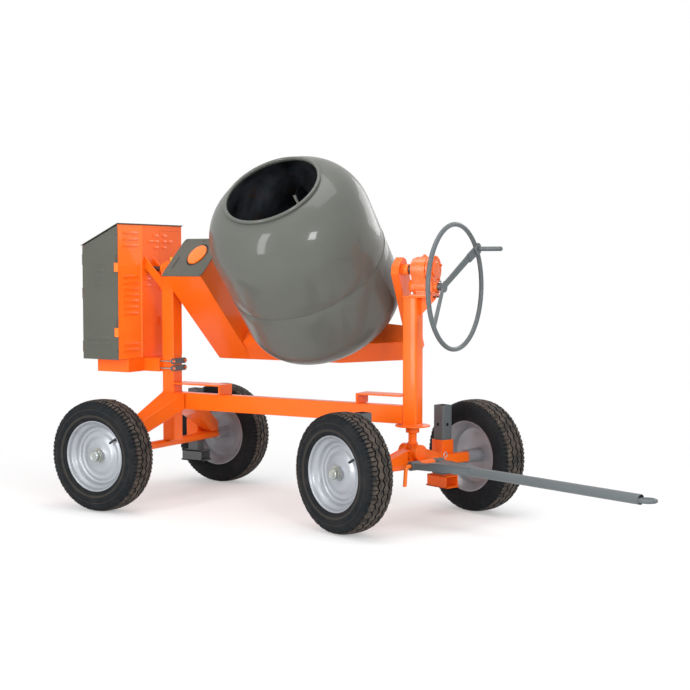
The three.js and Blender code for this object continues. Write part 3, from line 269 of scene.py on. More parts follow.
def rounded(width, depth, radius, centre=(0, 0), steps=4):
    """The outline of a rectangle with round corners."""
    points = []
    for quarter, (across, up) in enumerate([(1, 1), (-1, 1), (-1, -1), (1, -1)]):
        for step in range(steps + 1):
            angle = (quarter + step / steps) * math.pi / 2
            a = centre[0] + across * (width / 2 - radius) + radius * math.cos(angle)
            b = centre[1] + up * (depth / 2 - radius) + radius * math.sin(angle)
            points.append((a, b))
    return points


def polygon(radius, count, centre=(0, 0), start=0.0):
    return [
        (centre[0] + radius * math.cos(t), centre[1] + radius * math.sin(t))
        for t in turns(count, start)
    ]


def ellipse(across, up, centre, steps=64):
    return [(centre[0] + across * math.cos(t), centre[1] + up * math.sin(t)) for t in turns(steps)]


def toothed(count, tooth, centre=(0, 0)):
    """The outline of a gear, from one tooth's places in the pitch and their radii."""
    points = []
    for index in range(count):
        for shift, radius in tooth:
            t = math.tau * (index + shift) / count
            points.append((centre[0] + radius * math.cos(t), centre[1] + radius * math.sin(t)))
    return points


def hex_head(bm, axis, radius, start, end, at, finish=0):
    """A bolt head or nut with its corners taken off."""
    ease = 0.12 * radius
    places = ((radius - ease, start), (radius, start + ease), (radius, end - ease), (radius - ease, end))
    rings = [
        [bm.verts.new(spot(axis, along, *point)) for point in polygon(size, 6, at)]
        for size, along in places
    ]
    skin(bm, rings, finish=finish)


def bolt_ring(bm, axis, size, start, end, radius, centre, angles):
    """Bolt heads on a circle, at angles in degrees."""
    for angle in angles:
        t = math.radians(angle)
        at = (centre[0] + radius * math.cos(t), centre[1] + radius * math.sin(t))
        hex_head(bm, axis, size, start, end, at)


def sweep(bm, path, radius, sides=16, closed=False, finish=0):
    """A round wire along a path. The radius is one number, or one for each point."""
    points = [Vector(point) for point in path]
    radii = radius if isinstance(radius, list) else [radius] * len(points)
    rings, normal = [], None
    for index, point in enumerate(points):
        before = points[index - 1] if index or closed else point
        last = index == len(points) - 1
        after = point if last and not closed else points[(index + 1) % len(points)]
        along = (after - before).normalized()
        if normal is None:
            normal = along.orthogonal().normalized()
        normal = (normal - along * normal.dot(along)).normalized()
        side = along.cross(normal)
        rings.append([
            bm.verts.new(point + radii[index] * (normal * math.cos(t) + side * math.sin(t)))
            for t in turns(sides)
        ])
    return skin(bm, rings, joined=closed, finish=finish)


def curve(points, steps=8, closed=False):
    """A smooth path through the points."""
    knots = [Vector(point) for point in points]
    spans = len(knots) if closed else len(knots) - 1
    path = []
    for index in range(spans):
        if closed:
            p = [knots[(index + shift) % len(knots)] for shift in (-1, 0, 1, 2)]
        else:
            p = [knots[min(max(index + shift, 0), spans)] for shift in (-1, 0, 1, 2)]
        for step in range(steps):
            t = step / steps
            path.append(0.5 * (
                2 * p[1] + (p[2] - p[0]) * t
                + (2 * p[0] - 5 * p[1] + 4 * p[2] - p[3]) * t * t
                + (3 * p[1] - p[0] - 3 * p[2] + p[3]) * t ** 3
            ))
    return path if closed else [*path, knots[-1]]


def weld(bm, corners, radius=3.2, closed=False, finish=0):
    """A rippled weld bead along straight runs between the corners."""
    pitch = 2.6
    path = []
    ends = [Vector(corner) for corner in corners]
    if closed:
        ends.append(ends[0])
    for start, end in zip(ends, ends[1:]):
        count = max(2, round((end - start).length / pitch))
        path += [start.lerp(end, index / count) for index in range(count)]
    if not closed:
        path.append(ends[-1])
    radii = [
        radius * (0.86 + 0.14 * math.cos(math.tau * index / 3) + 0.18 * noise.noise(point * 0.09))
        for index, point in enumerate(path)
    ]
    sweep(bm, path, radii, 6, closed, finish)


def hull(bm, points, finish=0):
    """The closed form between corner points, with its flat faces whole."""
    verts = [bm.verts.new(point) for point in points]
    made = bmesh.ops.convex_hull(bm, input=verts)
    faces = [item for item in made["geom"] if isinstance(item, bmesh.types.BMFace)]
    for face in faces:
        face.material_index = finish
    loose = [vert for vert in verts if vert.is_valid and not vert.link_faces]
    bmesh.ops.delete(bm, geom=loose, context="VERTS")
    flatten(bm, [vert for vert in verts if vert.is_valid])


def flatten(bm, verts):
    """Joins triangles that lie in one plane, taking the edges in a settled order."""
    edges = list(dict.fromkeys(edge for vert in verts for edge in vert.link_edges))
    bmesh.ops.dissolve_limit(bm, angle_limit=math.radians(0.5), verts=verts, edges=edges)


def moved(bm, before, matrix):
    """Moves what was added to the mesh since it held that many vertices."""
    bm.verts.ensure_lookup_table()
    bmesh.ops.transform(bm, matrix=matrix, verts=bm.verts[before:])


def louvre(bm, length, height, rise, steps=6):
    """A pressed hood along X, open below, that stands rise proud of the plane at Y 0, towards -Y."""
    rings = []
    reach = length / 2
    for share in (-1, -0.94, -0.84, 0.84, 0.94, 1):
        swell = math.sqrt(max(0.0, 1 - max(0.0, (abs(share) - 0.8) / 0.2) ** 2))
        ring = []
        for step in range(steps + 1):
            angle = step / steps * math.pi / 2
            out = rise * swell * math.sin(angle)
            ring.append((share * reach, -out, height * (math.cos(angle) - 0.5)))
        ring.append((share * reach, 0.4, -height * 0.5))
        ring.append((share * reach, 0.4, height * 0.5))
        rings.append([bm.verts.new(point) for point in ring])
    skin(bm, rings)


def louvres(bm, places, length, height, rise, turn=None):
    for place in places:
        before = len(bm.verts)
        louvre(bm, length, height, rise)
        matrix = Matrix.Translation(place)
        moved(bm, before, matrix @ turn if turn else matrix)


def screw(bm, axis, at, start, way, radius=5.0):
    """A round screw head with a recess, that stands proud the way given."""
    profile = [
        (0, 1.2), (radius * 0.3, 1.2), (radius * 0.36, 2.4), (radius * 0.7, 2.1),
        (radius, 0.8), (radius, 0), (0, 0),
    ]
    lathe(bm, axis, [(size, start + way * rise) for size, rise in profile], at, 20)


# ------------------------------------------------------------------ pieces


def from_node(name):
    """A working copy of a CAD node's shape, in millimetres, with its flat faces whole."""
    bm = bmesh.new()
    bm.from_mesh(frame["nodes"][name].data)
    bm.transform(Matrix.Scale(1 / MM, 4))
    bmesh.ops.remove_doubles(bm, verts=bm.verts, dist=0.02)
    flatten(bm, list(bm.verts))
    return bm


def finished(bm, name, body, finishes, place=GROUND, replaces=(), soft=0.0, sharp=32):
    """Turns a working mesh into a piece that rides on a body, with its finishes by name."""
    bmesh.ops.recalc_face_normals(bm, faces=bm.faces)
    bm.transform(place @ Matrix.Scale(MM, 4))
    for face in bm.faces:
        face.smooth = True
    for edge in bm.edges:
        edge.smooth = edge.is_manifold and edge.calc_face_angle(0) < math.radians(sharp)
    mesh = bpy.data.meshes.new(name)
    bm.to_mesh(mesh)
    bm.free()
    for label in finishes:
        mesh.materials.append(finish(label))
    piece = bpy.data.objects.new(name, mesh)
    bpy.context.scene.collection.objects.link(piece)
    if soft:
        ease = piece.modifiers.new("soft_edges", "BEVEL")
        ease.width = soft * MM
        ease.segments = 2
        ease.limit_method = "ANGLE"
        ease.angle_limit = math.radians(32)
        ease.harden_normals = True
    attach(piece, body)
    if replaces:
        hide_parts(*replaces)
    return piece


def softened(node_name, name, body, finishes, soft):
    """A CAD node's own shape with its sharp edges taken off."""
    shape = from_node(node_name)
    return finished(shape, name, body, finishes, Matrix.Identity(4), (node_name,), soft)


def coat(node_name, label):
    """Gives a CAD node that stays in view a finish."""
    mesh = frame["nodes"][node_name].data
    mesh.materials.clear()
    mesh.materials.append(finish(label))


# ------------------------------------------------------------------ finishes

WHITE = (1.0, 1.0, 1.0, 1.0)
WHITE_RAYS = ("Is Camera Ray", "Is Glossy Ray", "Is Transmission Ray")
SITE_DUST = (0.42, 0.38, 0.33, 1.0)
BRAKE_GRIME = (0.2, 0.17, 0.14, 1.0)


def node(tree, kind, inputs=None, **settings):
    """A shader node with its settings, whose inputs are values or other nodes' sockets."""
    made = tree.nodes.new(kind)
    for key, value in settings.items():
        setattr(made, key, value)
    for key, value in (inputs or {}).items():
        if isinstance(value, bpy.types.NodeSocket):
            tree.links.new(value, made.inputs[key])
        else:
            made.inputs[key].default_value = value
    return made


def blank(name, colour, roughness, metallic=0.0):
    material = bpy.data.materials.new(name)
    material.use_nodes = True
    tree = material.node_tree
    shader = tree.nodes["Principled BSDF"]
    shader.inputs["Base Color"].default_value = colour
    shader.inputs["Roughness"].default_value = roughness
    shader.inputs["Metallic"].default_value = metallic
    material.diffuse_color = colour
    place = tree.nodes.new("ShaderNodeTexCoord")
    return material, tree, shader, place


def grain(tree, place, scale, detail=3.0, roughness=0.5, stretch=None):
    source = place.outputs["Object"]
    if stretch:
        source = node(tree, "ShaderNodeMapping", {"Vector": source, "Scale": stretch}).outputs[0]
    made = node(
        tree, "ShaderNodeTexNoise",
        {"Vector": source, "Scale": scale, "Detail": detail, "Roughness": roughness},
    )
    return made.outputs["Fac"]


def spread(tree, value, low, high, start=0.3, end=0.7):
    """A 0 to 1 pattern stretched between two values."""
    made = node(
        tree, "ShaderNodeMapRange",
        {"Value": value, "From Min": start, "From Max": end, "To Min": low, "To Max": high},
    )
    return made.outputs["Result"]


def product(tree, a, b):
    return node(tree, "ShaderNodeMath", {0: a, 1: b}, operation="MULTIPLY").outputs[0]


def blended(tree, factor, a, b):
    made = node(tree, "ShaderNodeMix", {"Factor": factor}, data_type="RGBA")
    for key, value in (("A", a), ("B", b)):
        socket = next(s for s in made.inputs if s.name == key and s.type == "RGBA")
        if isinstance(value, bpy.types.NodeSocket):
            tree.links.new(value, socket)
        else:
            socket.default_value = value
    return next(s for s in made.outputs if s.type == "RGBA")


def seen_by(tree, *kinds):
    """1 for the kinds of ray that are named, and 0 for the rest."""
    ray = node(tree, "ShaderNodeLightPath")
    seen = ray.outputs[kinds[0]]
    for kind in kinds[1:]:
        inputs = {0: seen, 1: ray.outputs[kind]}
        seen = node(tree, "ShaderNodeMath", inputs, operation="MAXIMUM").outputs[0]
    return seen


def raised(tree, shader, *layers):
    """Bump from several height patterns, each with its depth in metres and its strength."""
    normal = None
    for height, depth, strength in layers:
        inputs = {"Height": height, "Distance": depth, "Strength": strength}
        if normal:
            inputs["Normal"] = normal
        normal = node(tree, "ShaderNodeBump", inputs).outputs["Normal"]
    tree.links.new(normal, shader.inputs["Normal"])


def shade(colour, factor):
    return (*[min(1.0, part * factor) for part in colour[:3]], 1.0)


def wired(tree, shader, base, rough):
    """Leads a colour pattern and a roughness pattern into the shader."""
    tree.links.new(base, shader.inputs["Base Color"])
    tree.links.new(rough, shader.inputs["Roughness"])


def enamel(name, colour, roughness, peel=0.12, dust=0.05, coat_weight=0.2, gloss=0.22):
    """Sprayed gloss paint with orange peel and a little site dust on what faces up."""
    material, tree, shader, place = blank(name, colour, roughness)
    shader.inputs["Specular IOR Level"].default_value = gloss
    shader.inputs["Coat Weight"].default_value = coat_weight
    shader.inputs["Coat Roughness"].default_value = 0.06
    cloud = spread(tree, grain(tree, place, 3.2, 4.0), 0.0, 1.0)
    body = blended(tree, cloud, shade(colour, 0.94), shade(colour, 1.04))
    up = node(tree, "ShaderNodeSeparateXYZ", {"Vector": place.outputs["Normal"]}).outputs["Z"]
    settled = spread(tree, up, 0.0, dust, 0.55, 1.0)
    film = product(tree, settled, spread(tree, grain(tree, place, 14.0, 5.0), 0.3, 1.0))
    sheen = spread(tree, grain(tree, place, 9.0, 5.0), roughness - 0.05, roughness + 0.09)
    wired(tree, shader, blended(tree, film, body, SITE_DUST), sheen)
    waves, skin_grain = grain(tree, place, 5.0, 2.0), grain(tree, place, 420.0, 2.0)
    raised(tree, shader, (waves, 0.004, 0.03), (skin_grain, 0.0003, peel))
    return material


def cast_paint(name, colour):
    """Gloss paint over a rough sand casting."""
    material, tree, shader, place = blank(name, colour, 0.3)
    shader.inputs["Coat Weight"].default_value = 0.5
    shader.inputs["Coat Roughness"].default_value = 0.12
    pits = grain(tree, place, 110.0, 4.0, 0.6)
    dark = blended(tree, spread(tree, pits, 0.0, 1.0), shade(colour, 0.8), shade(colour, 1.06))
    wired(tree, shader, dark, spread(tree, pits, 0.24, 0.42))
    raised(tree, shader, (pits, 0.0022, 0.5), (grain(tree, place, 40.0, 3.0), 0.003, 0.25))
    return material


def tyre_rubber(name, colour, dusty):
    """Matt moulded rubber, with dust in its grain."""
    material, tree, shader, place = blank(name, colour, 0.72)
    shader.inputs["Specular IOR Level"].default_value = 0.18
    film = spread(tree, grain(tree, place, 11.0, 6.0, 0.6), 0.0, 0.07, 0.45, 0.75)
    sheen = spread(tree, grain(tree, place, 30.0), 0.6, 0.82)
    wired(tree, shader, blended(tree, film, colour, dusty), sheen)
    fine, coarse = grain(tree, place, 700.0, 2.0), grain(tree, place, 60.0)
    raised(tree, shader, (fine, 0.0003, 0.35), (coarse, 0.0008, 0.2))
    return material


def tread_rubber(name, colour, dusty):
    """The running face of the tyre: scuffed and brown with dry earth."""
    material, tree, shader, place = blank(name, dusty, 0.85)
    shader.inputs["Specular IOR Level"].default_value = 0.3
    scuffs = spread(tree, grain(tree, place, 26.0, 6.0, 0.65), 0.05, 0.72, 0.35, 0.65)
    sheen = spread(tree, scuffs, 0.75, 0.92, 0.0, 1.0)
    wired(tree, shader, blended(tree, scuffs, colour, dusty), sheen)
    raised(tree, shader, (grain(tree, place, 420.0, 4.0), 0.0005, 0.4))
    return material


def flake_paint(name, colour):
    """Silver wheel paint with fine metal flake and some grime."""
    material, tree, shader, place = blank(name, colour, 0.42, 0.55)
    shader.inputs["Coat Weight"].default_value = 0.15
    grime = spread(tree, grain(tree, place, 8.0, 6.0, 0.6), 0.0, 0.22, 0.5, 0.8)
    flake = grain(tree, place, 1500.0, 1.0)
    bright = blended(tree, spread(tree, flake, 0.0, 1.0), shade(colour, 0.92), shade(colour, 1.1))
    sheen = spread(tree, grain(tree, place, 16.0, 5.0), 0.34, 0.5)
    wired(tree, shader, blended(tree, grime, bright, BRAKE_GRIME), sheen)
    raised(tree, shader, (flake, 0.0002, 0.12), (grain(tree, place, 30.0), 0.001, 0.06))
    return material


def plated(name, colour):
    """Zinc plating with a faint yellow and blue bloom."""
    material, tree, shader, place = blank(name, colour, 0.3, 1.0)
    bloom = spread(tree, grain(tree, place, 24.0, 3.0), 0.0, 1.0)
    warm = blended(tree, bloom, (0.36, 0.47, 0.52, 1.0), (0.58, 0.52, 0.34, 1.0))
    tint = blended(tree, spread(tree, grain(tree, place, 7.0), 0.2, 0.8), colour, warm)
    wired(tree, shader, tint, spread(tree, grain(tree, place, 90.0, 4.0), 0.22, 0.42))
    raised(tree, shader, (grain(tree, place, 300.0), 0.0002, 0.2))
    return material


def bare_iron(name, colour, rust):
    """Oiled dark steel with rust starting."""
    material, tree, shader, place = blank(name, colour, 0.45, 0.75)
    patches = spread(tree, grain(tree, place, 18.0, 7.0, 0.65), 0.0, 0.8, 0.5, 0.72)
    sheen = spread(tree, patches, 0.36, 0.75, 0.0, 0.8)
    wired(tree, shader, blended(tree, patches, colour, rust), sheen)
    raised(tree, shader, (grain(tree, place, 160.0, 4.0), 0.0006, 0.3))
    return material


def scoured_steel(name, colour, rust):
    """The inside of the drum: steel streaked by the mix, with dried slurry."""
    material, tree, shader, place = blank(name, colour, 0.4, 0.7)
    streaks = grain(tree, place, 9.0, 6.0, 0.6, (1.0, 1.0, 0.18))
    base = blended(tree, spread(tree, streaks, 0.0, 1.0), shade(colour, 0.3), shade(colour, 2.6))
    stain = spread(tree, grain(tree, place, 12.0, 6.0, 0.65), 0.0, 0.55, 0.55, 0.75)
    wired(tree, shader, blended(tree, stain, base, rust), spread(tree, streaks, 0.3, 0.62))
    raised(tree, shader, (grain(tree, place, 90.0, 6.0, 0.7), 0.0012, 0.4))
    return material


def moulded_rubber(name, colour):
    """Plain matt rubber, slurry or near-black painted shadow, with pale marks in its grain; the slurry grey
    on the blade edges is partly a painted highlight.
    """
    material, tree, shader, place = blank(name, colour, 0.6)
    marks = grain(tree, place, 60.0, 4.0)
    tint = blended(tree, spread(tree, marks, 0.0, 1.0), colour, shade(colour, 1.9))
    wired(tree, shader, tint, spread(tree, marks, 0.5, 0.75))
    raised(tree, shader, (grain(tree, place, 500.0), 0.0003, 0.3))
    return material


def finish(name):
    """A finish of the mixer by its plain name, made once from the colours in the sidebar."""
    label = f"mixer_{name}"
    if label in bpy.data.materials:
        return bpy.data.materials[label]

    def own(setting):
        return (*getattr(bpy.context.scene.mixer_colours, setting), 1.0)

    makers = {
        "orange": lambda: enamel(label, own("orange"), 0.34),
        # a lighter copy of the orange paint with more coat: painted light for parts that should look lit,
        # not a second paint
        "orange_painted_light": lambda: enamel(label, (0.97, 0.19, 0.014, 1.0), 0.26, coat_weight=0.4),
        "casting": lambda: cast_paint(label, own("orange")),
        "drum_grey": lambda: enamel(label, own("drum_grey"), 0.36, 0.06, 0.03, 0.3, 0.1),
        "panel_grey": lambda: enamel(label, own("panel_grey"), 0.46, 0.12, 0.05, 0.05),
        "steel_grey": lambda: enamel(label, own("steel_grey"), 0.44, 0.02, 0.05, 0.08),
        "tyre": lambda: tyre_rubber(label, own("tyre"), own("earth")),
        "tread": lambda: tread_rubber(label, own("tyre"), own("earth")),
        "scuffed_tyre": lambda: tyre_rubber(label, (0.030, 0.027, 0.024, 1.0), own("earth")),
        "silver": lambda: flake_paint(label, own("wheel_silver")),
        "zinc": lambda: plated(label, own("zinc")),
        "iron": lambda: bare_iron(label, own("bare_steel"), own("rust")),
        "inside": lambda: scoured_steel(label, own("drum_inside"), own("rust")),
        "rubber": lambda: moulded_rubber(label, (0.012, 0.012, 0.013, 1.0)),
        "yellow_cap": lambda: enamel(label, (0.72, 0.50, 0.02, 1.0), 0.4),
        # pale grey for the blades' inner edges: dried cement, and also a painted highlight along the edge
        "cement_and_highlight": lambda: moulded_rubber(label, (0.42, 0.41, 0.38, 1.0)),
        "shadow": lambda: moulded_rubber(label, (0.008, 0.009, 0.010, 1.0)),
    }
    return makers[name]()


# ------------------------------------------------------------------ settings in the sidebar


def colour_setting(name, description, value):
    return bpy.props.FloatVectorProperty(
        name=name, description=description, subtype="COLOR", size=3, min=0.0, max=1.0, default=value
    )


def length_setting(name, description, value, most):
    return bpy.props.FloatProperty(
        name=name, description=description, unit="LENGTH", subtype="DISTANCE",
        default=value, min=0.0, max=most, precision=4,
    )


class MixerColours(bpy.types.PropertyGroup):
    """Colours of the mixer's finishes."""

    orange: colour_setting("Orange", "Gloss paint of the chassis and cradle", (0.94, 0.143, 0.005))
    drum_grey: colour_setting("Drum grey", "Gloss paint of the drum", (0.108, 0.113, 0.101))
    panel_grey: colour_setting("Panel grey", "Paint of the door and covers", (0.092, 0.094, 0.078))
    steel_grey: colour_setting("Steel grey", "Paint of the drawbar and legs", (0.112, 0.128, 0.134))
    tyre: colour_setting("Tyre", "Rubber of the tyres", (0.006, 0.008, 0.010))
    earth: colour_setting("Dry earth", "Dust on the tread", (0.135, 0.105, 0.082))
    wheel_silver: colour_setting("Wheel silver", "Paint of the rims", (0.38, 0.40, 0.43))
    zinc: colour_setting("Zinc", "Plating of nuts and pins", (0.42, 0.44, 0.45))
    bare_steel: colour_setting("Bare steel", "Unpainted and worn steel", (0.10, 0.095, 0.09))
    rust: colour_setting("Rust", "Rust on bare steel", (0.20, 0.065, 0.02))
    drum_inside: colour_setting("Drum inside", "Scoured steel inside the drum", (0.062, 0.070, 0.082))
    floor: colour_setting("Floor", "The studio floor", (0.93, 0.93, 0.93))


class MixerSizes(bpy.types.PropertyGroup):
    """Sizes of the details that are added to the frame."""

    edge: length_setting("Edge rounding", "Rounding of the welded frame's edges", 0.004, 0.02)
    sheet_edge: length_setting("Sheet edge", "Rounding of sheet metal edges", 0.0012, 0.004)
    tread_depth: length_setting("Tread depth", "Depth of the tyre's grooves", 0.010, 0.012)
    groove: length_setting("Groove width", "Width of the tyre's grooves", 0.0085, 0.012)
    bead: length_setting("Weld bead", "Radius of the weld beads", 0.0036, 0.008)
    louvre_rise: length_setting("Louvre rise", "How far the louvres stand proud", 0.004, 0.008)
    drum_sides: bpy.props.IntProperty(
        name="Drum sides", description="Steps round the drum", default=160, min=48, max=256
    )
    view_turn: bpy.props.FloatProperty(
        name="View turn", description="Turn of the camera about the vertical",
        subtype="ANGLE", unit="ROTATION", default=math.radians(30.0),
    )


# ------------------------------------------------------------------ operators


class MIXER_OT_stage(bpy.types.Operator):
    """Sets up the studio: floor, background, lamps and camera."""

    bl_idname = "mixer.stage"
    bl_label = "Studio"

    def execute(self, context):
        scene = context.scene
        scene.view_settings.view_transform = "Standard"
        self.floor(scene)
        self.background(scene)
        self.lamps(scene)
        self.camera(scene)
        return {"FINISHED"}

    def floor(self, scene):
        """A round floor that fades to white away from the mixer and keeps its shadow."""
        bm = bmesh.new()
        bm.faces.new([bm.verts.new((*point, 0)) for point in polygon(FLOOR_REACH, 96)])
        mesh = bpy.data.meshes.new("studio_floor")
        bm.to_mesh(mesh)
        bm.free()
        floor = bpy.data.objects.new("studio_floor", mesh)
        floor.location.z = -0.001
        scene.collection.objects.link(floor)
        material, tree, shader, place = blank("studio_floor", (*scene.mixer_colours.floor, 1.0), 0.8)
        shader.inputs["Specular IOR Level"].default_value = 0.0
        seen = seen_by(tree, *WHITE_RAYS)
        away = node(tree, "ShaderNodeVectorMath", {0: place.outputs["Object"]}, operation="LENGTH")
        fade = spread(tree, away.outputs["Value"], 0.0, 1.0, *FLOOR_FADE)
        white = node(tree, "ShaderNodeEmission", {"Color": WHITE, "Strength": 1.0})
        share = product(tree, seen, spread(tree, fade, 0.35, 1.0, 0.0, 1.0))
        mixed = node(tree, "ShaderNodeMixShader", {0: share, 1: shader.outputs[0], 2: white.outputs[0]})
        tree.links.new(mixed.outputs[0], tree.nodes["Material Output"].inputs["Surface"])
        mesh.materials.append(material)

    def background(self, scene):
        world = bpy.data.worlds.new("studio")
        scene.world = world
        world.use_nodes = True
        tree = world.node_tree
        tree.nodes.clear()
        shown = seen_by(tree, *WHITE_RAYS)
        soft = node(tree, "ShaderNodeBackground", {"Color": WHITE, "Strength": SOFT_LIGHT})
        white = node(tree, "ShaderNodeBackground", {"Color": WHITE, "Strength": 1.0})
        mixed = node(tree, "ShaderNodeMixShader", {0: shown, 1: soft.outputs[0], 2: white.outputs[0]})
        out = node(tree, "ShaderNodeOutputWorld")
        tree.links.new(mixed.outputs[0], out.inputs["Surface"])

    def lamps(self, scene):
        """Softboxes: name, place, width, height, power."""
        middle = Vector((0.0, 0.0, 0.9))
        boxes = (
            ("lamp_right", (4.4, -3.9, 2.2), 1.1, 1.3, 125),
            ("lamp_left", (-1.5, -5.0, 2.05), 0.9, 3.8, 135),
            ("lamp_over", (0.0, -0.4, 4.8), 3.2, 2.2, 80),
            ("lamp_back", (0.5, 4.6, 3.0), 2.6, 2.0, 50),
        )
        for name, place, width, height, power in boxes:
            lamp = bpy.data.lights.new(name, "AREA")
            lamp.shape = "RECTANGLE"
            lamp.size, lamp.size_y, lamp.energy = width, height, power
            holder = bpy.data.objects.new(name, lamp)
            holder.location = place
            holder.rotation_euler = (middle - holder.location).to_track_quat("-Z", "Y").to_euler()
            scene.collection.objects.link(holder)

    def camera(self, scene):
        turn = scene.mixer_sizes.view_turn
        across = Vector((math.cos(turn), math.sin(turn), 0))
        ahead = Vector((-math.sin(turn), math.cos(turn), 0))
        middle = GROUND.translation + Vector((0.8, 0, 0))
        lens = bpy.data.cameras.new("camera")
        lens.lens = LENS
        camera = bpy.data.objects.new("camera", lens)
        camera.location = middle + across * CAMERA_SIDE - ahead * CAMERA_BACK
        camera.location.z += CAMERA_HEIGHT
        camera.rotation_euler = (math.radians(CAMERA_PITCH), 0, turn)
        scene.collection.objects.link(camera)
        scene.camera = camera


class MIXER_OT_wheels(bpy.types.Operator):
    """Builds the four wheels: treaded tyres, dished rims, hub nuts and valves."""

    bl_idname = "mixer.wheels"
    bl_label = "Wheels"

    VALVE = {"rear_near": 40, "rear_far": 75, "front_near": 35, "front_far": 200}

    def execute(self, context):
        sizes = context.scene.mixer_sizes
        for name, turn in self.VALVE.items():
            body = f"wheel_{name}"
            way = -1 if name.endswith("near") else 1
            out = Vector(joint(f"{body}_roll")["axis"]) * way
            up = Vector((0, 0, 1))
            along = up.cross(out)
            place = Matrix.Translation(seat(f"{body}_roll"))
            place = place @ Matrix((along, up, out)).transposed().to_4x4()
            self.tyre(sizes, name, body, place)
            self.rim(name, body, place)
            self.nut(name, body, place)
            self.valve(name, body, place, math.radians(turn))
        return {"FINISHED"}

    def tyre(self, sizes, name, body, place):
        """Columns across the tread follow zigzag grooves, and the rest is turned smooth.

        Each point has its radius, its place across the tyre and the finish of the face after it.
        """
        periods, samples = 40, 10
        depth, half_groove = sizes.tread_depth / MM, sizes.groove / MM / 2
        wall = [
            (184, 60), (189, 69), (196, 76), (203, 79.5), (206, 82.2), (209, 80.5), (222, 82.8),
            (236, 83.6), (247, 83.6), (250, 82.0), (253, 82.6), (262, 80.4), (270, 77.6), (276, 74.5),
        ]
        lining = [(192, -50, 0), (276, -40, 0), (276, 40, 0), (192, 50, 0)]

        def crown(across):
            return TYRE_RADIUS - 11.0 * (abs(across) / 70.0) ** 3.2

        def sidewall(side, flute):
            """One side, with its fluted band and two scuffed rings on the outer one."""
            return [
                (
                    radius,
                    side * (out - (flute if 255 < radius < 272 else 0)),
                    SCUFFED if side > 0 and radius in SCUFF_RINGS else SMOOTH,
                )
                for radius, out in wall
            ]

        bm = bmesh.new()
        rings, marks = [], []
        for index in range(periods * samples):
            angle = math.tau * index / (periods * samples)
            phase = (index % samples) / samples
            zigzag = TREAD_SWING * (4 * abs(phase - 0.5) - 1)
            lug = 1.0 if index % (samples // 2) < 1 else 0.0
            flute = 0.9 if index % 2 else 0.0
            worn = SMOOTH if lug else RUNNING
            shoulder, edge, rib = (
                284.5 - depth * 0.8 * lug, crown(62) - depth * lug, crown(57) - depth * lug
            )
            row = sidewall(1, flute)
            row += [(shoulder, 70.0, SMOOTH), (edge, 63.0 + zigzag * 0.5, worn), (rib, 56.0, worn)]
            for groove, side in ((33.0, -1), (0.0, 1), (-33.0, -1)):
                for shift, down in ((1.0, 0), (0.75, depth), (-0.75, depth), (-1.0, 0)):
                    across = groove + side * zigzag + shift * half_groove
                    mark = RUNNING if shift == -1.0 else SMOOTH
                    row.append((crown(across) - down, across, mark))
            row += [(rib, -56.0, worn), (edge, -63.0 + zigzag * 0.5, SMOOTH), (shoulder, -70.0, SMOOTH)]
            row += sidewall(-1, flute)[::-1] + lining
            rings.append([
                bm.verts.new((radius * math.cos(angle), radius * math.sin(angle), across))
                for radius, across, _ in row
            ])
            marks.append([mark for *_, mark in row])
        count = len(rings[0])
        for index, ring in enumerate(rings):
            after = rings[(index + 1) % len(rings)]
            for step in range(count):
                beyond = (step + 1) % count
                face = bm.faces.new([ring[step], after[step], after[beyond], ring[beyond]])
                face.material_index = marks[index][step]
        finished(
            bm, f"tyre_tread_{name}", body, ("tyre", "tread", "scuffed_tyre"), place,
            (f"tyre_{name}",), sharp=38,
        )

    def rim(self, name, body, place):
        front = [
            (17, 44), (33, 44), (36, 41.5), (36.5, 31), (40, 28.5), (74, 27.5), (90, 24), (101, 17.5),
            (110, 13.5), (117, 14.5), (123, 17.5), (129, 16), (136, 11), (143, 9.5), (149, 12),
            (154, 20), (158, 31), (164, 38), (173, 43), (178, 52), (180, 61), (182.5, 66.5),
            (186.5, 69.5), (190, 69), (191.5, 66), (190, 63.5), (185, 62),
        ]
        back = [
            (183, 50), (160, 26), (156, 8), (156, -30), (183, -56), (190, -63.5), (191.5, -66),
            (190, -69), (186.5, -69.5), (182.5, -66.5), (178, -54), (154, -32), (150, -20), (147, 3),
            (136, 5), (123, 10), (110, 7), (80, 19), (38, 21), (36, 18), (36, -HUB_BACK), (17, -HUB_BACK),
        ]
        bm = bmesh.new()
        lathe(bm, "z", front + back, sides=120, joined=True)
        finished(bm, f"rim_dish_{name}", body, ("silver",), place, (f"rim_{name}",), sharp=45)

    def nut(self, name, body, place):
        """A washer, a collar and a domed cap over the spindle's end."""
        washer = [(17, 44.3), (40, 44.3), (41, 45.5), (41, 49), (40, 50), (17, 50)]
        collar = [(17, 50.2), (33, 50.2), (34, 51.5), (34, 56), (33, 57), (17, 57)]
        cap = [(17, 57.2), (26, 57.2), (27, 58.2), (27, 70), (25, 73), (21, 74), (19, 73.2)]
        cap += [(0, 73.2), (0, 62), (17, 62)]
        bm = bmesh.new()
        lathe(bm, "z", washer, joined=True)
        lathe(bm, "z", collar, joined=True)
        lathe(bm, "z", cap)
        hidden = (f"hub_cap_{name}",)
        finished(bm, f"hub_nut_{name}", body, ("zinc",), place, hidden, sharp=30)

    def valve(self, name, body, place, turn):
        bm = bmesh.new()
        across, up = math.cos(turn), math.sin(turn)
        path = [(148, 14), (144, 26), (134, 35), (122, 40)]
        stem = curve([(r * across, r * up, z) for r, z in path], 5)
        radii = [8.0 - 1.6 * min(1, index / 6) for index in range(len(stem))]
        sweep(bm, stem, radii, 16)
        ends = [Vector((r * across, r * up, z)) for r, z in ((124, 39), (110, 43))]
        cap = [ends[0].lerp(ends[1], share) for share in (0, 0.1, 0.75, 0.76, 0.95, 1)]
        sweep(bm, cap, [5.6, 6.6, 6.6, 4.6, 4.6, 3.6], 14)
        finished(bm, f"valve_{name}", body, ("rubber",), place)


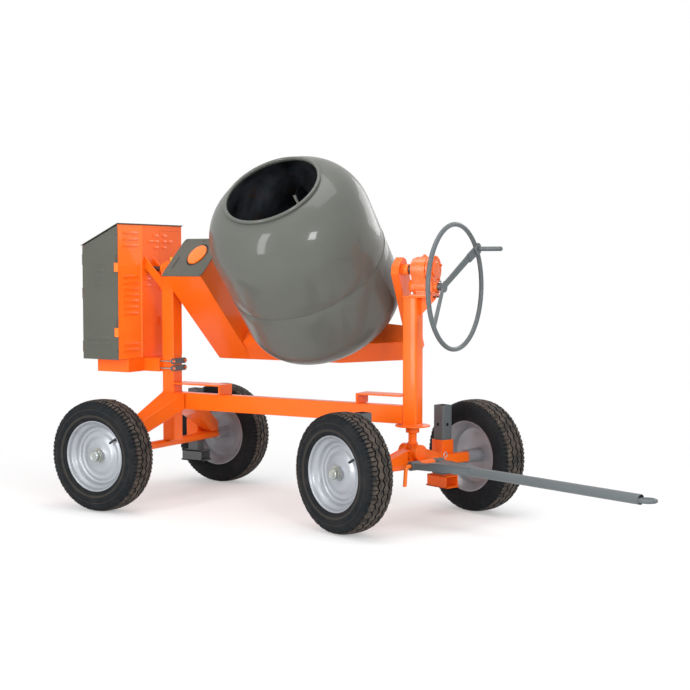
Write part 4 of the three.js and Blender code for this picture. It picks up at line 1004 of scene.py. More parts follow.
class MIXER_OT_chassis(bpy.types.Operator):
    """Builds the welded frame: beam, posts, struts, fork plates, brace and their weld beads."""

    bl_idname = "mixer.chassis"
    bl_label = "Chassis"

    def execute(self, context):
        sizes = context.scene.mixer_sizes
        orange = ("orange",)
        edge = sizes.edge / MM
        for node_name, name, soft in (
            ("main_beam", "beam_tube", edge),
            ("rear_column", "rear_post", edge),
            ("rear_strut_near", "strut_near", edge * 0.75),
            ("rear_strut_far", "strut_far", edge * 0.75),
            ("fork_pocket_rear", "fork_plate_rear", 2.0),
            ("fork_pocket_front", "fork_plate_front", 2.0),
            ("top_brace", "housing_brace", 1.6),
        ):
            softened(node_name, name, "chassis", orange, soft)
        self.front_post(orange, edge)
        self.welds(sizes, orange)
        return {"FINISHED"}

    def front_post(self, orange, edge):
        half = COLUMN / 2
        bm = bmesh.new()
        prism(bm, "z", rounded(COLUMN, COLUMN, 9, (WHEELBASE, 0)), FRONT_POST_BOTTOM, FRONT_POST_TOP)
        box(bm, (WHEELBASE - half, PLATE_END), (-half, half), (FRONT_POST_TOP, FRONT_POST_TOP + 8))
        box(bm, (CASE_START - 4, PLATE_END), (-54, 54), (FRONT_POST_TOP + 0.1, FRONT_POST_TOP + 7.9))
        start, tip = WHEELBASE + half - 1, PLATE_END - 2
        gusset = [(start, FRONT_POST_TOP), (tip, FRONT_POST_TOP), (tip, FRONT_POST_TOP - 6)]
        gusset += [(start + 4, GUSSET_FOOT), (start, GUSSET_FOOT)]
        prism(bm, "y", gusset, -4, 4)
        rod(bm, "z", TURNTABLE, 492, FRONT_POST_BOTTOM, (WHEELBASE, 0), 96, 1.6)
        finished(bm, "front_post", "chassis", orange, replaces=("front_column",), soft=1.6)

    def welds(self, sizes, orange):
        bead = sizes.bead / MM
        half = COLUMN / 2
        front, rear = WHEELBASE - half, REAR_COLUMN_X + half
        bm = bmesh.new()
        for x in (rear + 1.5, front - 1.5):
            ring = [(x, -30, BEAM_BOTTOM), (x, -30, BEAM_TOP), (x, 30, BEAM_TOP), (x, 30, BEAM_BOTTOM)]
            weld(bm, ring, bead, True)
        base = [(WHEELBASE + a, b, FRONT_POST_BOTTOM + 1) for a, b in rounded(COLUMN, COLUMN, 9)]
        weld(bm, base, bead * 1.25, True)
        under = [(WHEELBASE + a, b, FRONT_POST_TOP - 1) for a, b in rounded(COLUMN, COLUMN, 9)]
        weld(bm, under, bead * 0.8, True)
        face = WHEELBASE + half
        for side in (-4, 4):
            seam = [(face, side, GUSSET_FOOT + 2), (face, side, 1152), (PLATE_END - 4, side, 1153)]
            weld(bm, seam, bead * 0.8)
        for way in (-1, 1):
            near = way * half
            weld(bm, [(5, near, BEAM_BOTTOM), (5, near, BEAM_TOP), (85, near, BEAM_TOP)], bead)
            weld(bm, [(-24, way * 470, 324), (24, way * 470, 324)], bead)
            weld(bm, [(rear + 2, way * 62, 652), (rear + 2, way * 40, 652)], bead * 0.8)
        weld(bm, [(5, -40, 1252), (5, -40, 1184), (5, 40, 1184)], bead * 0.9)
        for end, fold in ((415.3, 411), (1281.7, 1286)):
            for way in (-1, 1):
                weld(bm, [(fold, way * 60, 599), (fold, way * 31, 599)], bead * 0.8)
        finished(bm, "frame_welds", "chassis", orange, sharp=60)


class MIXER_OT_axles(bpy.types.Operator):
    """Builds the rear axle, the swinging front axle and the steering head."""

    bl_idname = "mixer.axles"
    bl_label = "Axles"

    def execute(self, context):
        sizes = context.scene.mixer_sizes
        orange = ("orange", "zinc")
        self.rear(orange)
        self.front(sizes, orange)
        self.head(orange)
        return {"FINISHED"}

    def rear(self, orange):
        half = REAR_TRACK / 2
        tube_end = half - HUB_BACK - 0.5
        bm = bmesh.new()
        rod(bm, "y", 22.5, -tube_end, tube_end, (0, AXLE_HEIGHT), 48)
        for way in (-1, 1):
            ends = sorted((way * (tube_end - 4), way * (half + SPINDLE_END)))
            rod(bm, "y", SPINDLE, *ends, (0, AXLE_HEIGHT), 40, 2.0, finish=1)
            self.sleeve(bm, REAR_LEG[0], way * REAR_LEG[1], 277.5)
            y = way * REAR_LEG[1]
            box(bm, (REAR_LEG[0] + SLEEVE - 1, 0), (y - 30, y + 30), (281.5, 318.5))
        finished(bm, "rear_axle_tube", "chassis", orange, replaces=("rear_axle",), soft=1.2)

    def sleeve(self, bm, x, y, bottom):
        """A square sleeve that a leg slides in."""
        outer = rounded(2 * SLEEVE, 2 * SLEEVE, 6, (x, y))
        inner = rounded(2 * SLEEVE_BORE, 2 * SLEEVE_BORE, 3, (x, y))
        hollow(bm, "z", outer, inner, bottom, SLEEVE_TOP)

    def front(self, sizes, orange):
        half = FRONT_TRACK / 2
        tube_end = half - HUB_BACK - 0.5
        bead = sizes.bead / MM
        bm = bmesh.new()
        beam = rounded(50, 50, 5, (0, AXLE_HEIGHT))
        prism(bm, "y", beam, -tube_end, tube_end)
        for way in (-1, 1):
            ends = sorted((way * (tube_end - 4), way * (half + SPINDLE_END)))
            rod(bm, "y", SPINDLE, *ends, (0, AXLE_HEIGHT), 40, 2.0, finish=1)
            self.sleeve(bm, FRONT_LEG[0], way * FRONT_LEG[1], 283)
            wedge = []
            for x in (-29.5, 29.5):
                for out, top in ((215, 25), (46, 77)):
                    wedge += [(x, way * out, AXLE_HEIGHT), (x, way * out, AXLE_HEIGHT + top)]
            hull(bm, wedge)
            low, high = sorted((way * 21.5, way * 67.5))
            lathe(
                bm, "x",
                [(0, low), (39, low), (42, low + 3), (42, high - 3), (39, high), (0, high)],
                (0, SWING_HEIGHT), 64,
            )
            for x in (-30, 30):
                weld(bm, [(x, way * 212, 326), (x, way * 48, 378)], bead * 0.7)
        for start, end in ((21.5, 29.5), (-29.5, -21.5)):
            box(bm, (start, end), (-60, 60), (322, 372))
        rod(bm, "x", 15, -31, 31, (0, SWING_HEIGHT))
        finished(bm, "front_axle_beam", "front_axle", orange, STEERED, ("front_axle",), 1.4)

    def head(self, orange):
        bm = bmesh.new()
        profile = [
            (0, 560), (18, 560), (20, 558), (20, 491.7), (33.5, 491.7), (35, 490), (35, 463), (33, 460.5),
            (23, 459.5), (21.5, 457), (21.5, 416), (23, 412), (28, 408), (28, 404), (0, 404),
        ]
        lathe(bm, "z", profile, sides=64)
        prism(bm, "z", rounded(42, 42, 5), 338, 407)
        finished(
            bm, "steering_head_post", "steering_head", orange, STEERED,
            ("steering_head",), 1.2,
        )


class MIXER_OT_towing(bpy.types.Operator):
    """Builds the hitch sleeve, the drawbar with its eye, the L-handled pin and its R-clip."""

    bl_idname = "mixer.towing"
    bl_label = "Drawbar and hitch"

    def execute(self, context):
        sizes = context.scene.mixer_sizes
        self.bracket()
        self.drawbar(sizes)
        self.pin()
        self.clip()
        return {"FINISHED"}

    def bracket(self):
        bm = bmesh.new()
        rod(bm, "y", 24, -49.5, 49.5, (HITCH_X, HITCH_HEIGHT), 48, 1.5, 10.5)
        arm = [(25.3, 282), (25.3, 312)]
        arm += [(HITCH_X - 4, HITCH_HEIGHT + 16), (HITCH_X - 8, HITCH_HEIGHT - 16)]
        prism(bm, "y", arm, -44, 44)
        finished(
            bm, "hitch_sleeve", "front_axle", ("orange",), STEERED,
            ("hitch_bracket",), 2.0,
        )

    def drawbar(self, sizes):
        grey = ("steel_grey",)
        bead = sizes.bead / MM
        bm = bmesh.new()
        neck, thick = HITCH_X + 320, 16
        for way in (-1, 1):
            low, high = sorted((way * 50, way * 112))
            rod(bm, "y", 24, low, high, (HITCH_X, HITCH_HEIGHT), 48, 1.5, 10.5)
            plate = []
            for z in (HITCH_HEIGHT - thick, HITCH_HEIGHT + thick):
                plate += [(HITCH_X + 14, way * 56, z), (HITCH_X + 14, way * 108, z)]
                plate += [(neck, 0, z), (neck, way * 20, z)]
            hull(bm, plate)
            top = HITCH_HEIGHT + thick + 1
            weld(bm, [(HITCH_X + 80, way * 88, top), (neck, way * 22, top)], bead * 0.8)
        web = [(HITCH_X + 84, -66), (HITCH_X + 84, 66), (neck + 44, 9), (neck + 44, -9)]
        prism(bm, "z", web, HITCH_HEIGHT + 16, HITCH_HEIGHT + 21)
        inner = DRAWBAR_TUBE - 4
        profile = [
            (0, neck - 58), (20, neck - 58), (24, neck - 52), (24, TUBE_END - 1), (23, TUBE_END),
            (inner, TUBE_END), (inner, TUBE_END - 70), (0, TUBE_END - 70),
        ]
        lathe(bm, "x", profile, (0, HITCH_HEIGHT), 64)
        box(bm, (TUBE_END - 60, TUBE_END + 6), (-7, 7), (HITCH_HEIGHT - 6, HITCH_HEIGHT + 6))
        centre = TUBE_END + 36
        ring = [(centre + 34 * math.cos(t), 34 * math.sin(t), HITCH_HEIGHT) for t in turns(64)]
        sweep(bm, ring, 9, 20, True)
        finished(bm, "drawbar_tube", "drawbar", grey, STEERED, ("drawbar",), 1.2)

    def pin(self):
        """A round bar through the hitch, bent down into a handle at its near end."""
        bend = -126
        run = [(139, 0), (60, 0), (bend + 6, 0), (bend - 8, 5), (bend - 15, 20)]
        run += [(bend - 18, 50), (bend - 22, 98)]
        stem = curve([(HITCH_X, y, HITCH_HEIGHT - drop) for y, drop in run], 8)
        stem = [stem[0] + Vector((0, 1, 0)), *stem, stem[-1] + Vector((0, 0, -1.4))]
        bm = bmesh.new()
        sweep(bm, stem, [8.6, *[10.0] * (len(stem) - 2), 8.6], 24)
        # The pin takes the lighter copy of the orange: painted light.
        finished(bm, "hitch_pin_rod", "hitch_pin", ("orange_painted_light",), STEERED, ("hitch_pin",))

    def clip(self):
        bm = bmesh.new()
        y, z = 126, HITCH_HEIGHT
        path = [(y, z - 20), (y, z + 4), (y, z + 22), (y + 1, z + 36), (y + 9, z + 47), (y + 20, z + 46)]
        path += [(y + 26, z + 36), (y + 22, z + 26), (y + 13, z + 21), (y + 11, z + 14)]
        sweep(bm, curve([(HITCH_X, a, b) for a, b in path], 8), 2.2, 12)
        finished(bm, "hitch_r_clip", "hitch_clip", ("zinc",), STEERED, ("hitch_clip",))


class MIXER_OT_legs(bpy.types.Operator):
    """Builds the four stabiliser legs: drilled square tubes on folded feet."""

    bl_idname = "mixer.legs"
    bl_label = "Stabiliser legs"

    def execute(self, context):
        for end, (x, reach) in (("rear", REAR_LEG), ("front", FRONT_LEG)):
            for side, way in (("near", -1), ("far", 1)):
                self.leg(f"{end}_{side}", GROUND if end == "rear" else STEERED, x, way * reach)
        return {"FINISHED"}

    def drilled_face(self, bm, turn, x, y):
        """One wall of the tube with a round hole, between its rounded corners."""
        half, inset = LEG / 2, LEG / 2 - LEG_WALL
        hole, steps = 9, 24
        before = len(bm.verts)
        rims = [
            [bm.verts.new((depth, *point)) for point in polygon(hole, steps, (0, LEG_HOLE))]
            for depth in (half, inset)
        ]
        band(bm, *rims, 1)
        for level, (depth, reach) in enumerate(((half, half - LEG_CORNER), (inset, inset))):
            square = []
            for t in turns(steps):
                scale = reach / max(abs(math.cos(t)), abs(math.sin(t)))
                point = (depth, scale * math.cos(t), LEG_HOLE + scale * math.sin(t))
                square.append(bm.verts.new(point))
            band(bm, rims[level], square, level)
            for low, high in ((FOOT_TOP, LEG_HOLE - reach), (LEG_HOLE + reach, LEG_TOP)):
                wall = [(-reach, low), (reach, low), (reach, high), (-reach, high)]
                corners = [bm.verts.new((depth, *point)) for point in wall]
                bm.faces.new(corners).material_index = level
        moved(bm, before, Matrix.Translation((x, y, 0)) @ Matrix.Rotation(turn, 4, "Z"))

    def leg(self, name, place, x, y):
        half, inset = LEG / 2, LEG / 2 - LEG_WALL
        side = half - LEG_CORNER
        levels = (FOOT_TOP, LEG_HOLE - side, LEG_HOLE + side, LEG_TOP)
        arc = [
            (side + LEG_CORNER * math.cos(t), side + LEG_CORNER * math.sin(t))
            for t in [step / 5 * math.pi / 2 for step in range(6)]
        ]
        bm = bmesh.new()
        for quarter in range(4):
            turn = quarter * math.pi / 2
            self.drilled_face(bm, turn, x, y)
            before = len(bm.verts)
            rows = [[bm.verts.new((a, b, z)) for a, b in arc] for z in levels]
            for low, high in zip(rows, rows[1:]):
                for index in range(len(arc) - 1):
                    bm.faces.new([low[index], low[index + 1], high[index + 1], high[index]])
            outer = [bm.verts.new((a, b, LEG_TOP)) for a, b in [(half, -side), *arc]]
            inner = [bm.verts.new((inset, b, LEG_TOP)) for b in (inset, -inset)]
            bm.faces.new([*outer, *inner])
            moved(bm, before, Matrix.Translation((x, y, 0)) @ Matrix.Rotation(turn, 4, "Z"))
        bmesh.ops.remove_doubles(bm, verts=bm.verts, dist=0.01)
        body = f"leg_{name}"
        coats = ("steel_grey", "shadow")
        finished(bm, f"{body}_tube", body, coats, place, (body,), sharp=40)
        self.foot(name, place, x, y)

    def foot(self, name, place, x, y):
        """A folded foot: sole, two cheeks and the top that the tube is welded to."""
        body = f"leg_{name}"
        lip, bead = FOOT_SOLE + 8, FOOT_TOP + 1
        foot = bmesh.new()
        cheek = [(78, FOOT_SOLE), (78, lip), (70, lip), (70, FOOT_TOP)]
        cheek = [(-78, FOOT_SOLE), *cheek, (-70, FOOT_TOP), (-70, lip), (-78, lip)]
        for start in (y - 46, y + 39):
            prism(foot, "y", [(x + a, z) for a, z in cheek], start, start + 7)
        box(foot, (x - 78, x + 78), (y - 46, y + 46), (FOOT_SOLE, lip))
        box(foot, (x - 70, x + 70), (y - 46, y + 46), (FOOT_TOP - 7, FOOT_TOP))
        for way in (-1, 1):
            weld(foot, [(x - 34, y + way * 36, bead), (x + 34, y + way * 36, bead)], 3)
            weld(foot, [(x + way * 36, y - 34, bead), (x + way * 36, y + 34, bead)], 3)
        colour = "orange" if name.startswith("front") else "steel_grey"
        finished(foot, f"{body}_foot", body, (colour,), place, soft=1.0)


class MIXER_OT_housing(bpy.types.Operator):
    """Builds the motor housing: shell, roof, side door, front flap, shelf and clamp plates."""

    bl_idname = "mixer.housing"
    bl_label = "Motor housing"

    def execute(self, context):
        sizes = context.scene.mixer_sizes
        rise = sizes.louvre_rise / MM
        thin = sizes.sheet_edge / MM
        orange = ("orange",)
        grey = ("panel_grey",)
        softened("housing_shell", "housing_box", "chassis", orange, thin)
        softened("housing_roof", "housing_lid", "chassis", grey, thin)
        softened("housing_carrier", "housing_shelf", "chassis", orange, 1.5)
        self.front_details(rise, orange)
        self.door(rise, thin, grey, orange)
        self.flap(rise, thin, orange)
        self.clamps()
        return {"FINISHED"}

    def front_details(self, rise, orange):
        """Pressed louvres, the folded ridge, hinges and screws on the face towards the drum; the ridge
        strip has painted light, a lighter copy of the orange.
        """
        facing = Matrix.Rotation(math.radians(90), 4, "Z")
        bm = bmesh.new()
        x = HOUSING_FRONT
        long_rows = [1502, 1467, 1432, 1256, 1221, 1186, 1152, 1117, 1082, 1048, 874, 841]
        louvres(bm, [(x + 1.2, -169, z) for z in long_rows], 142, 15, rise + 1, facing)
        short = [(62, 1489), (10, 1456), (62, 1456), (62, 1421)]
        short += [(-14, z) for z in (1307, 1272, 1239, 1204)]
        louvres(bm, [(x, y, z) for y, z in short], 54, 13, rise, facing)
        # The folded strip takes the second finish, the lighter copy of the orange: painted light, not a
        # different paint.
        strip = [(x - 0.4, HOUSING_NEAR + 6), (x + 1.2, HOUSING_NEAR + 6), (x + 1.4, -79)]
        strip += [(x + 6, -73), (x + 6, -69), (x - 0.4, -66)]
        prism(bm, "z", strip, HOUSING_BOTTOM + 2, FRONT_TOP - 3, finish=1)
        barrel = (x + 3.6, FLAP_EDGE - 4.8)
        for z in KNUCKLES:
            for low, high in ((-26, -9.5), (-9, 9), (9.5, 26)):
                rod(bm, "z", 3.5, z + low, z + high, barrel, 20, 0.8)
            box(bm, (x, x + 1.6), (FLAP_EDGE - 28, FLAP_EDGE - 2), (z - 26, z + 26))
        for y, z in ((-40, 1500), (-10, 1180), (-30, 830), (80, 830)):
            screw(bm, "x", (y, z), x, 1, 4)
        sheets = (*orange, "orange_painted_light")
        finished(bm, "housing_louvres", "chassis", sheets, soft=0.6)

    def door(self, rise, thin, grey, orange):
        y = HOUSING_NEAR
        bm = bmesh.new()
        outline = [(HOUSING_BACK, HOUSING_BOTTOM), (HOUSING_FRONT, HOUSING_BOTTOM)]
        outline += [(HOUSING_FRONT, FRONT_TOP - ROOF_GAP), (HOUSING_BACK, REAR_TOP - ROOF_GAP)]
        prism(bm, "y", outline, y, y + 4)
        upper = [(-251, z) for z in (1327, 1291, 1255, 1219)]
        lower = [(a, z) for a in (-299, -211) for z in (911, 879)]
        louvres(bm, [(a, y, z) for a, z in upper + lower], 76, 13, rise * 0.8)
        finished(bm, "door_panel", "side_door", grey, replaces=("housing_door",), soft=thin)
        trim = bmesh.new()
        hasp = [(-138, 0), (-138, -5), (-134, -9), (-112, -10), (-108.5, -6)]
        hasp += [(-108.5, 22), (-115.4, 22), (-115.4, 0)]
        for level in LATCHES:
            prism(trim, "z", [(a, y + b) for a, b in hasp], level - 25, level + 25)
        # The latches take the lighter copy of the orange: painted light.
        finished(trim, "door_latches", "side_door", ("orange_painted_light",), soft=1.2)
        fixings = bmesh.new()
        for level in (1483, 1158, 842):
            screw(fixings, "y", (-128, level), y, -1, 4.5)
        for level in LATCHES:
            box(fixings, (-131, -121), (y - 1.2, y), (level + 28, level + 70))
        for level in (1350, 1160, 860):
            rod(fixings, "z", 4, level - 30, level + 30, (HOUSING_BACK + 1, y + 1), 20, 0.8)
        finished(fixings, "door_fixings", "side_door", ("iron",), sharp=40)

    def flap(self, rise, thin, orange):
        x = HOUSING_FRONT
        bm = bmesh.new()
        box(bm, (x - 4, x), (FLAP_EDGE + 0.5, 284.5), (813.5, 1515.5))
        facing = Matrix.Rotation(math.radians(90), 4, "Z")
        spots = [(140, 1489), (140, 1456), (195, 1456), (140, 1421)]
        louvres(bm, [(x, y, z) for y, z in spots], 46, 13, rise, facing)
        rod(bm, "x", 9, x - 1, x + 7, (262, 1150), 32, 1.5)
        box(bm, (x + 6, x + 12), (258, 266), (1128, 1172))
        finished(bm, "flap_panel", "front_flap", orange, replaces=("housing_flap",), soft=thin)

    def clamps(self):
        face = REAR_COLUMN_X + COLUMN / 2 + 0.3
        for index, level in enumerate((775, 735)):
            bm = bmesh.new()
            outline = rounded(136, 32, 15, (0, level), 8)
            slot = rounded(40, 11, 5.4, (-46, level), 8)
            hollow(bm, "x", outline, slot, face, face + 10)
            for y in (-54, 54):
                rod(bm, "x", 5, -58, face + 22, (y, level), 20, 1.0, finish=1)
            hex_head(bm, "x", 9, face + 10, face + 18, (54, level), 2)
            rod(bm, "x", 11, face + 10, face + 12, (-54, level), 32, 0.5, finish=1)
            hex_head(bm, "x", 9, face + 12, face + 19, (-54, level), 2)
            finishes = ("steel_grey", "zinc", "orange")
            finished(
                bm, f"clamp_plate_{index + 1}", "chassis", finishes,
                replaces=(f"housing_clamp_{index + 1}",), soft=0.8,
            )


def loop_outline(upper, upper_z, lower, lower_z, count=28):
    """The outline of a belt round two wheels, the first above the second."""
    lean = math.asin((lower - upper) / (upper_z - lower_z))
    points = []
    for radius, z, start, sweep_angle in (
        (upper, upper_z, lean, math.pi - 2 * lean),
        (lower, lower_z, math.pi - lean, math.pi + 2 * lean),
    ):
        for step in range(count):
            t = start + sweep_angle * step / (count - 1)
            points.append((radius * math.cos(t), z + radius * math.sin(t)))
    return points


class MIXER_OT_drive(bpy.types.Operator):
    """Builds the motor, its pulleys and belt, and coats the hidden drive to the drum."""

    bl_idname = "mixer.drive"
    bl_label = "Drive"

    def execute(self, context):
        self.motor()
        self.pulleys()
        belt = bmesh.new()
        outer = loop_outline(146, TILT_HEIGHT, 42, MOTOR_HEIGHT)
        inner = loop_outline(137.6, TILT_HEIGHT, 33.6, MOTOR_HEIGHT)
        hollow(belt, "x", outer, inner, PULLEY_X + 0.5, PULLEY_X + 15.5)
        finished(belt, "belt", "chassis", ("rubber",), replaces=("drive_belt",), soft=1.5)
        for name in ("drive_chain", "lay_shaft", "tilt_gear"):
            coat(name, "iron")
        return {"FINISHED"}

    def motor(self):
        end = PULLEY_X - 12
        bm = bmesh.new()
        fin = ((-0.32, 84), (0.18, 84), (0.22, 76), (0.64, 76))
        prism(bm, "x", toothed(36, fin, (0, MOTOR_HEIGHT)), end - 128, end - 30)
        bell = [(0, end), (30, end), (34, end - 8), (76, end - 14), (82, end - 18)]
        bell += [(82, end - 30), (0, end - 30)]
        lathe(bm, "x", bell, (0, MOTOR_HEIGHT), 64)
        cowl = [(0, end - 168), (70, end - 168), (82, end - 158), (83, end - 128), (0, end - 128)]
        lathe(bm, "x", cowl, (0, MOTOR_HEIGHT), 64)
        box(bm, (end - 150, end - 20), (-70, 70), (793.3, 803))
        for y in (-56, 56):
            box(bm, (end - 120, end - 40), (y - 8, y + 8), (803, 860))
        box(bm, (end - 118, end - 48), (-34, 34), (MOTOR_HEIGHT + 72, MOTOR_HEIGHT + 106))
        finished(bm, "motor_body", "chassis", ("steel_grey",), replaces=("motor",), soft=1.2)

    def pulley(self, bm, radius, z):
        start, end = PULLEY_X - 5, PULLEY_X + 21
        groove = [(0, start), (radius + 5, start), (radius + 6, start + 1), (radius + 6, PULLEY_X - 1)]
        groove += [(radius - 3.5, PULLEY_X + 2), (radius - 3.5, PULLEY_X + 14), (radius + 6, PULLEY_X + 17)]
        groove += [(radius + 6, end - 1), (radius + 5, end)]
        if radius > 60:
            groove += [(radius - 12, end), (radius - 16, end - 8), (40, end - 8), (34, end + 6)]
        groove += [(0, end + (6 if radius > 60 else 0))]
        lathe(bm, "x", groove, (0, z), 96)

    def pulleys(self):
        bm = bmesh.new()
        self.pulley(bm, 140, TILT_HEIGHT)
        rod(bm, "x", 15, PULLEY_X - 30, 266, (0, TILT_HEIGHT), 40, 1.5)
        tooth = ((-0.3, 38), (-0.12, 42), (0.12, 42), (0.3, 38))
        prism(bm, "x", toothed(18, tooth, (0, TILT_HEIGHT)), 241, 253)
        finished(
            bm, "drive_shaft_line", "drive_shaft", ("iron",), replaces=("drive_shaft",),
            sharp=35,
        )
        small = bmesh.new()
        self.pulley(small, 36, MOTOR_HEIGHT)
        rod(small, "x", 12, PULLEY_X - 36, PULLEY_X + 26, (0, MOTOR_HEIGHT), 32)
        finished(
            small, "motor_pulley_wheel", "motor_pulley", ("iron",),
            replaces=("motor_pulley",), sharp=35,
        )


class MIXER_OT_cradle(bpy.types.Operator):
    """Builds the cradle: box arm, cross box, slim arm, trunnions, covers and the drum's bearing."""

    bl_idname = "mixer.cradle"
    bl_label = "Cradle"

    def execute(self, context):
        sizes = context.scene.mixer_sizes
        self.arms(sizes)
        self.cover(sizes)
        grey = ("panel_grey",)
        softened("cradle_bottom_cover", "cradle_strip", "cradle", grey, 1.0)
        bm = bmesh.new()
        flange = [(24.5, -469.7), (88, -469.7), (89, -468), (88, -459), (64, -457)]
        flange += [(60, -452), (60, -430), (56, -428), (24.5, -428)]
        lathe(bm, "z", flange, (DRUM_X, 0), 64, True)
        bolt_ring(bm, "z", 9, -459, -450, 75, (DRUM_X, 0), range(0, 360, 60))
        finished(bm, "drum_seat", "cradle", ("casting",), CRADLE, ("drum_bearing",), sharp=32)
        self.post_bearing()
        return {"FINISHED"}

    def box_face(self, z):
        """Where the box arm's outer face stands as it narrows towards its foot."""
        return ARM_LEFT + ARM_STEP * (ARM_TOP - z) / (ARM_TOP - CROSS_BOTTOM)

    def slim_face(self, z):
        """Where the slim arm's outer face stands as it leans in towards its foot."""
        return SLIM_END - SLIM_LEAN * (SLIM_TOP - z) / (SLIM_TOP - CROSS_BOTTOM)

    def arms(self, sizes):
        bm = bmesh.new()
        arm, cross, slim = [], [], []
        for way in (-1, 1):
            arm += [(ARM_LEFT, way * ARM_HALF, ARM_TOP), (ARM_RIGHT, way * ARM_HALF, ARM_TOP)]
            foot = way * ARM_FOOT_HALF
            arm += [(ARM_LEFT + ARM_STEP, foot, CROSS_BOTTOM), (ARM_RIGHT, foot, CROSS_BOTTOM)]
            for z in (CROSS_BOTTOM + 0.8, CROSS_TOP):
                cross += [(ARM_RIGHT - 10, foot, z), (DRUM_X, foot, z)]
                cross += [(self.slim_face(z) - 20, way * (SLIM_HALF - 0.8), z)]
            for z, cut in ((CROSS_BOTTOM, 0), (SLIM_TOP - SLIM_BEVEL_RISE, 0), (SLIM_TOP, SLIM_BEVEL)):
                face, half = self.slim_face(z), SLIM_HALF - cut
                slim += [(face, way * half, z), (face - SLIM_WIDTH, way * half, z)]
        for shape in (arm, cross, slim):
            hull(bm, shape)
        finished(
            bm, "cradle_box", "cradle", ("orange",), CRADLE, ("cradle_frame",),
            sizes.edge / MM * 0.9,
        )
        self.trunnions(sizes.bead / MM)

    def trunnions(self, bead):
        pins = bmesh.new()
        flange = self.box_face(-52) + 1
        boss = self.slim_face(-28) - 1
        rod(pins, "x", 30, REAR_COLUMN_X - 60, flange, sides=64, chamfer=2, bore=15.5)
        rod(pins, "x", 52, ARM_LEFT - 12, flange, sides=64, chamfer=1.5, bore=29)
        rod(pins, "x", 20, boss, CASE_END - 12, sides=48, chamfer=1.5)
        rod(pins, "x", 28, boss, CASE_START - 30, sides=64, chamfer=1.5)
        rod(pins, "x", 21, CASE_START - 30.5, CASE_START + 2, sides=48, chamfer=1, finish=1)
        rod(pins, "x", 26, CASE_START - 24, CASE_START - 18, sides=48, chamfer=1, finish=1)
        for radius, face in ((29, self.slim_face), (53, self.box_face)):
            weld(pins, [(face(z), y, z) for y, z in polygon(radius, 48)], bead, True)
        foot = ARM_FOOT_HALF - 8
        for way in (-1, 1):
            weld(pins, [(ARM_RIGHT, way * foot, CROSS_TOP), (ARM_RIGHT, way * 20, CROSS_TOP)], bead)
        inside = self.slim_face(CROSS_TOP) - SLIM_WIDTH
        weld(pins, [(inside, 8 - SLIM_HALF, CROSS_TOP), (inside, SLIM_HALF - 8, CROSS_TOP)], bead)
        # The trunnions take the lighter copy of the orange, which is painted light; their pins are bare
        # iron.
        finished(
            pins, "cradle_trunnions", "cradle", ("orange_painted_light", "iron"),
            CRADLE, sharp=40,
        )

    def cover(self, sizes):
        """The lid of the box arm, with its slot, and a plain raised oval in a well; the oval is painted
        light in a lighter copy of the orange, and the well's floor and the slot are painted shadow.
        """
        low = ARM_TOP + 0.3
        high = low + 4
        lid = bmesh.new()
        outline = []
        for t in turns(64):
            across, up = math.cos(t), math.sin(t)
            scale = 1 / max(abs(across) / 136, abs(up) / 156)
            outline.append((240 + across * scale, up * scale))
        hollow(lid, "z", outline, ellipse(60, 88, LID_CENTRE), low, high)
        finished(
            lid, "arm_lid", "cradle", ("panel_grey",), CRADLE, ("cradle_cover",),
            sizes.sheet_edge / MM, 30,
        )
        trim = bmesh.new()
        prism(trim, "z", ellipse(59.5, 87.5, LID_CENTRE), low, low + 1, finish=1)
        prism(trim, "z", rounded(8, 95, 3.9, (148, -47.5)), high - 1, high + 0.3, finish=1)
        for x, y in ((122, -138), (358, -138), (122, 138), (358, 138), (240, -138), (240, 138)):
            rod(trim, "z", 6, high, high + 2.2, (x, y), 24, 1.0)
        finished(trim, "arm_lid_fixings", "cradle", ("iron", "shadow"), CRADLE, sharp=30)
        oval = bmesh.new()
        rings = []
        for inset, rise in ((0, 1), (0, 9), (2, 11), (6, 12), (44, 12)):
            points = ellipse(52 - inset, 74 - inset, LID_CENTRE)
            rings.append([oval.verts.new((*point, low + rise)) for point in points])
        skin(oval, rings)
        # The oval takes the lighter copy of the orange: painted light.
        finished(oval, "arm_lid_oval", "cradle", ("orange_painted_light",), CRADLE, sharp=50)

    def post_bearing(self):
        bm = bmesh.new()
        arc = [math.radians(-8 + 196 * step / 24) for step in range(25)]
        outline = [(-56, 1254.3), (56, 1254.3), (54, 1266)]
        outline += [(46 * math.cos(t), TILT_HEIGHT + 46 * math.sin(t)) for t in arc]
        outline += [(-54, 1266)]
        prism(bm, "x", outline, REAR_COLUMN_X - 34, REAR_COLUMN_X + 34)
        finished(
            bm, "post_bearing", "chassis", ("casting",), replaces=("trunnion_bearing",),
            soft=2.0,
        )
        nipple = bmesh.new()
        hex_head(nipple, "z", 6, 1343, 1350, (REAR_COLUMN_X, 0))
        cap = [(0, 1350), (6.5, 1350), (7, 1354), (6, 1360), (3, 1363), (0, 1363)]
        lathe(nipple, "z", cap, (REAR_COLUMN_X, 0), 24)
        finished(nipple, "grease_cap", "chassis", ("yellow_cap",), sharp=40)


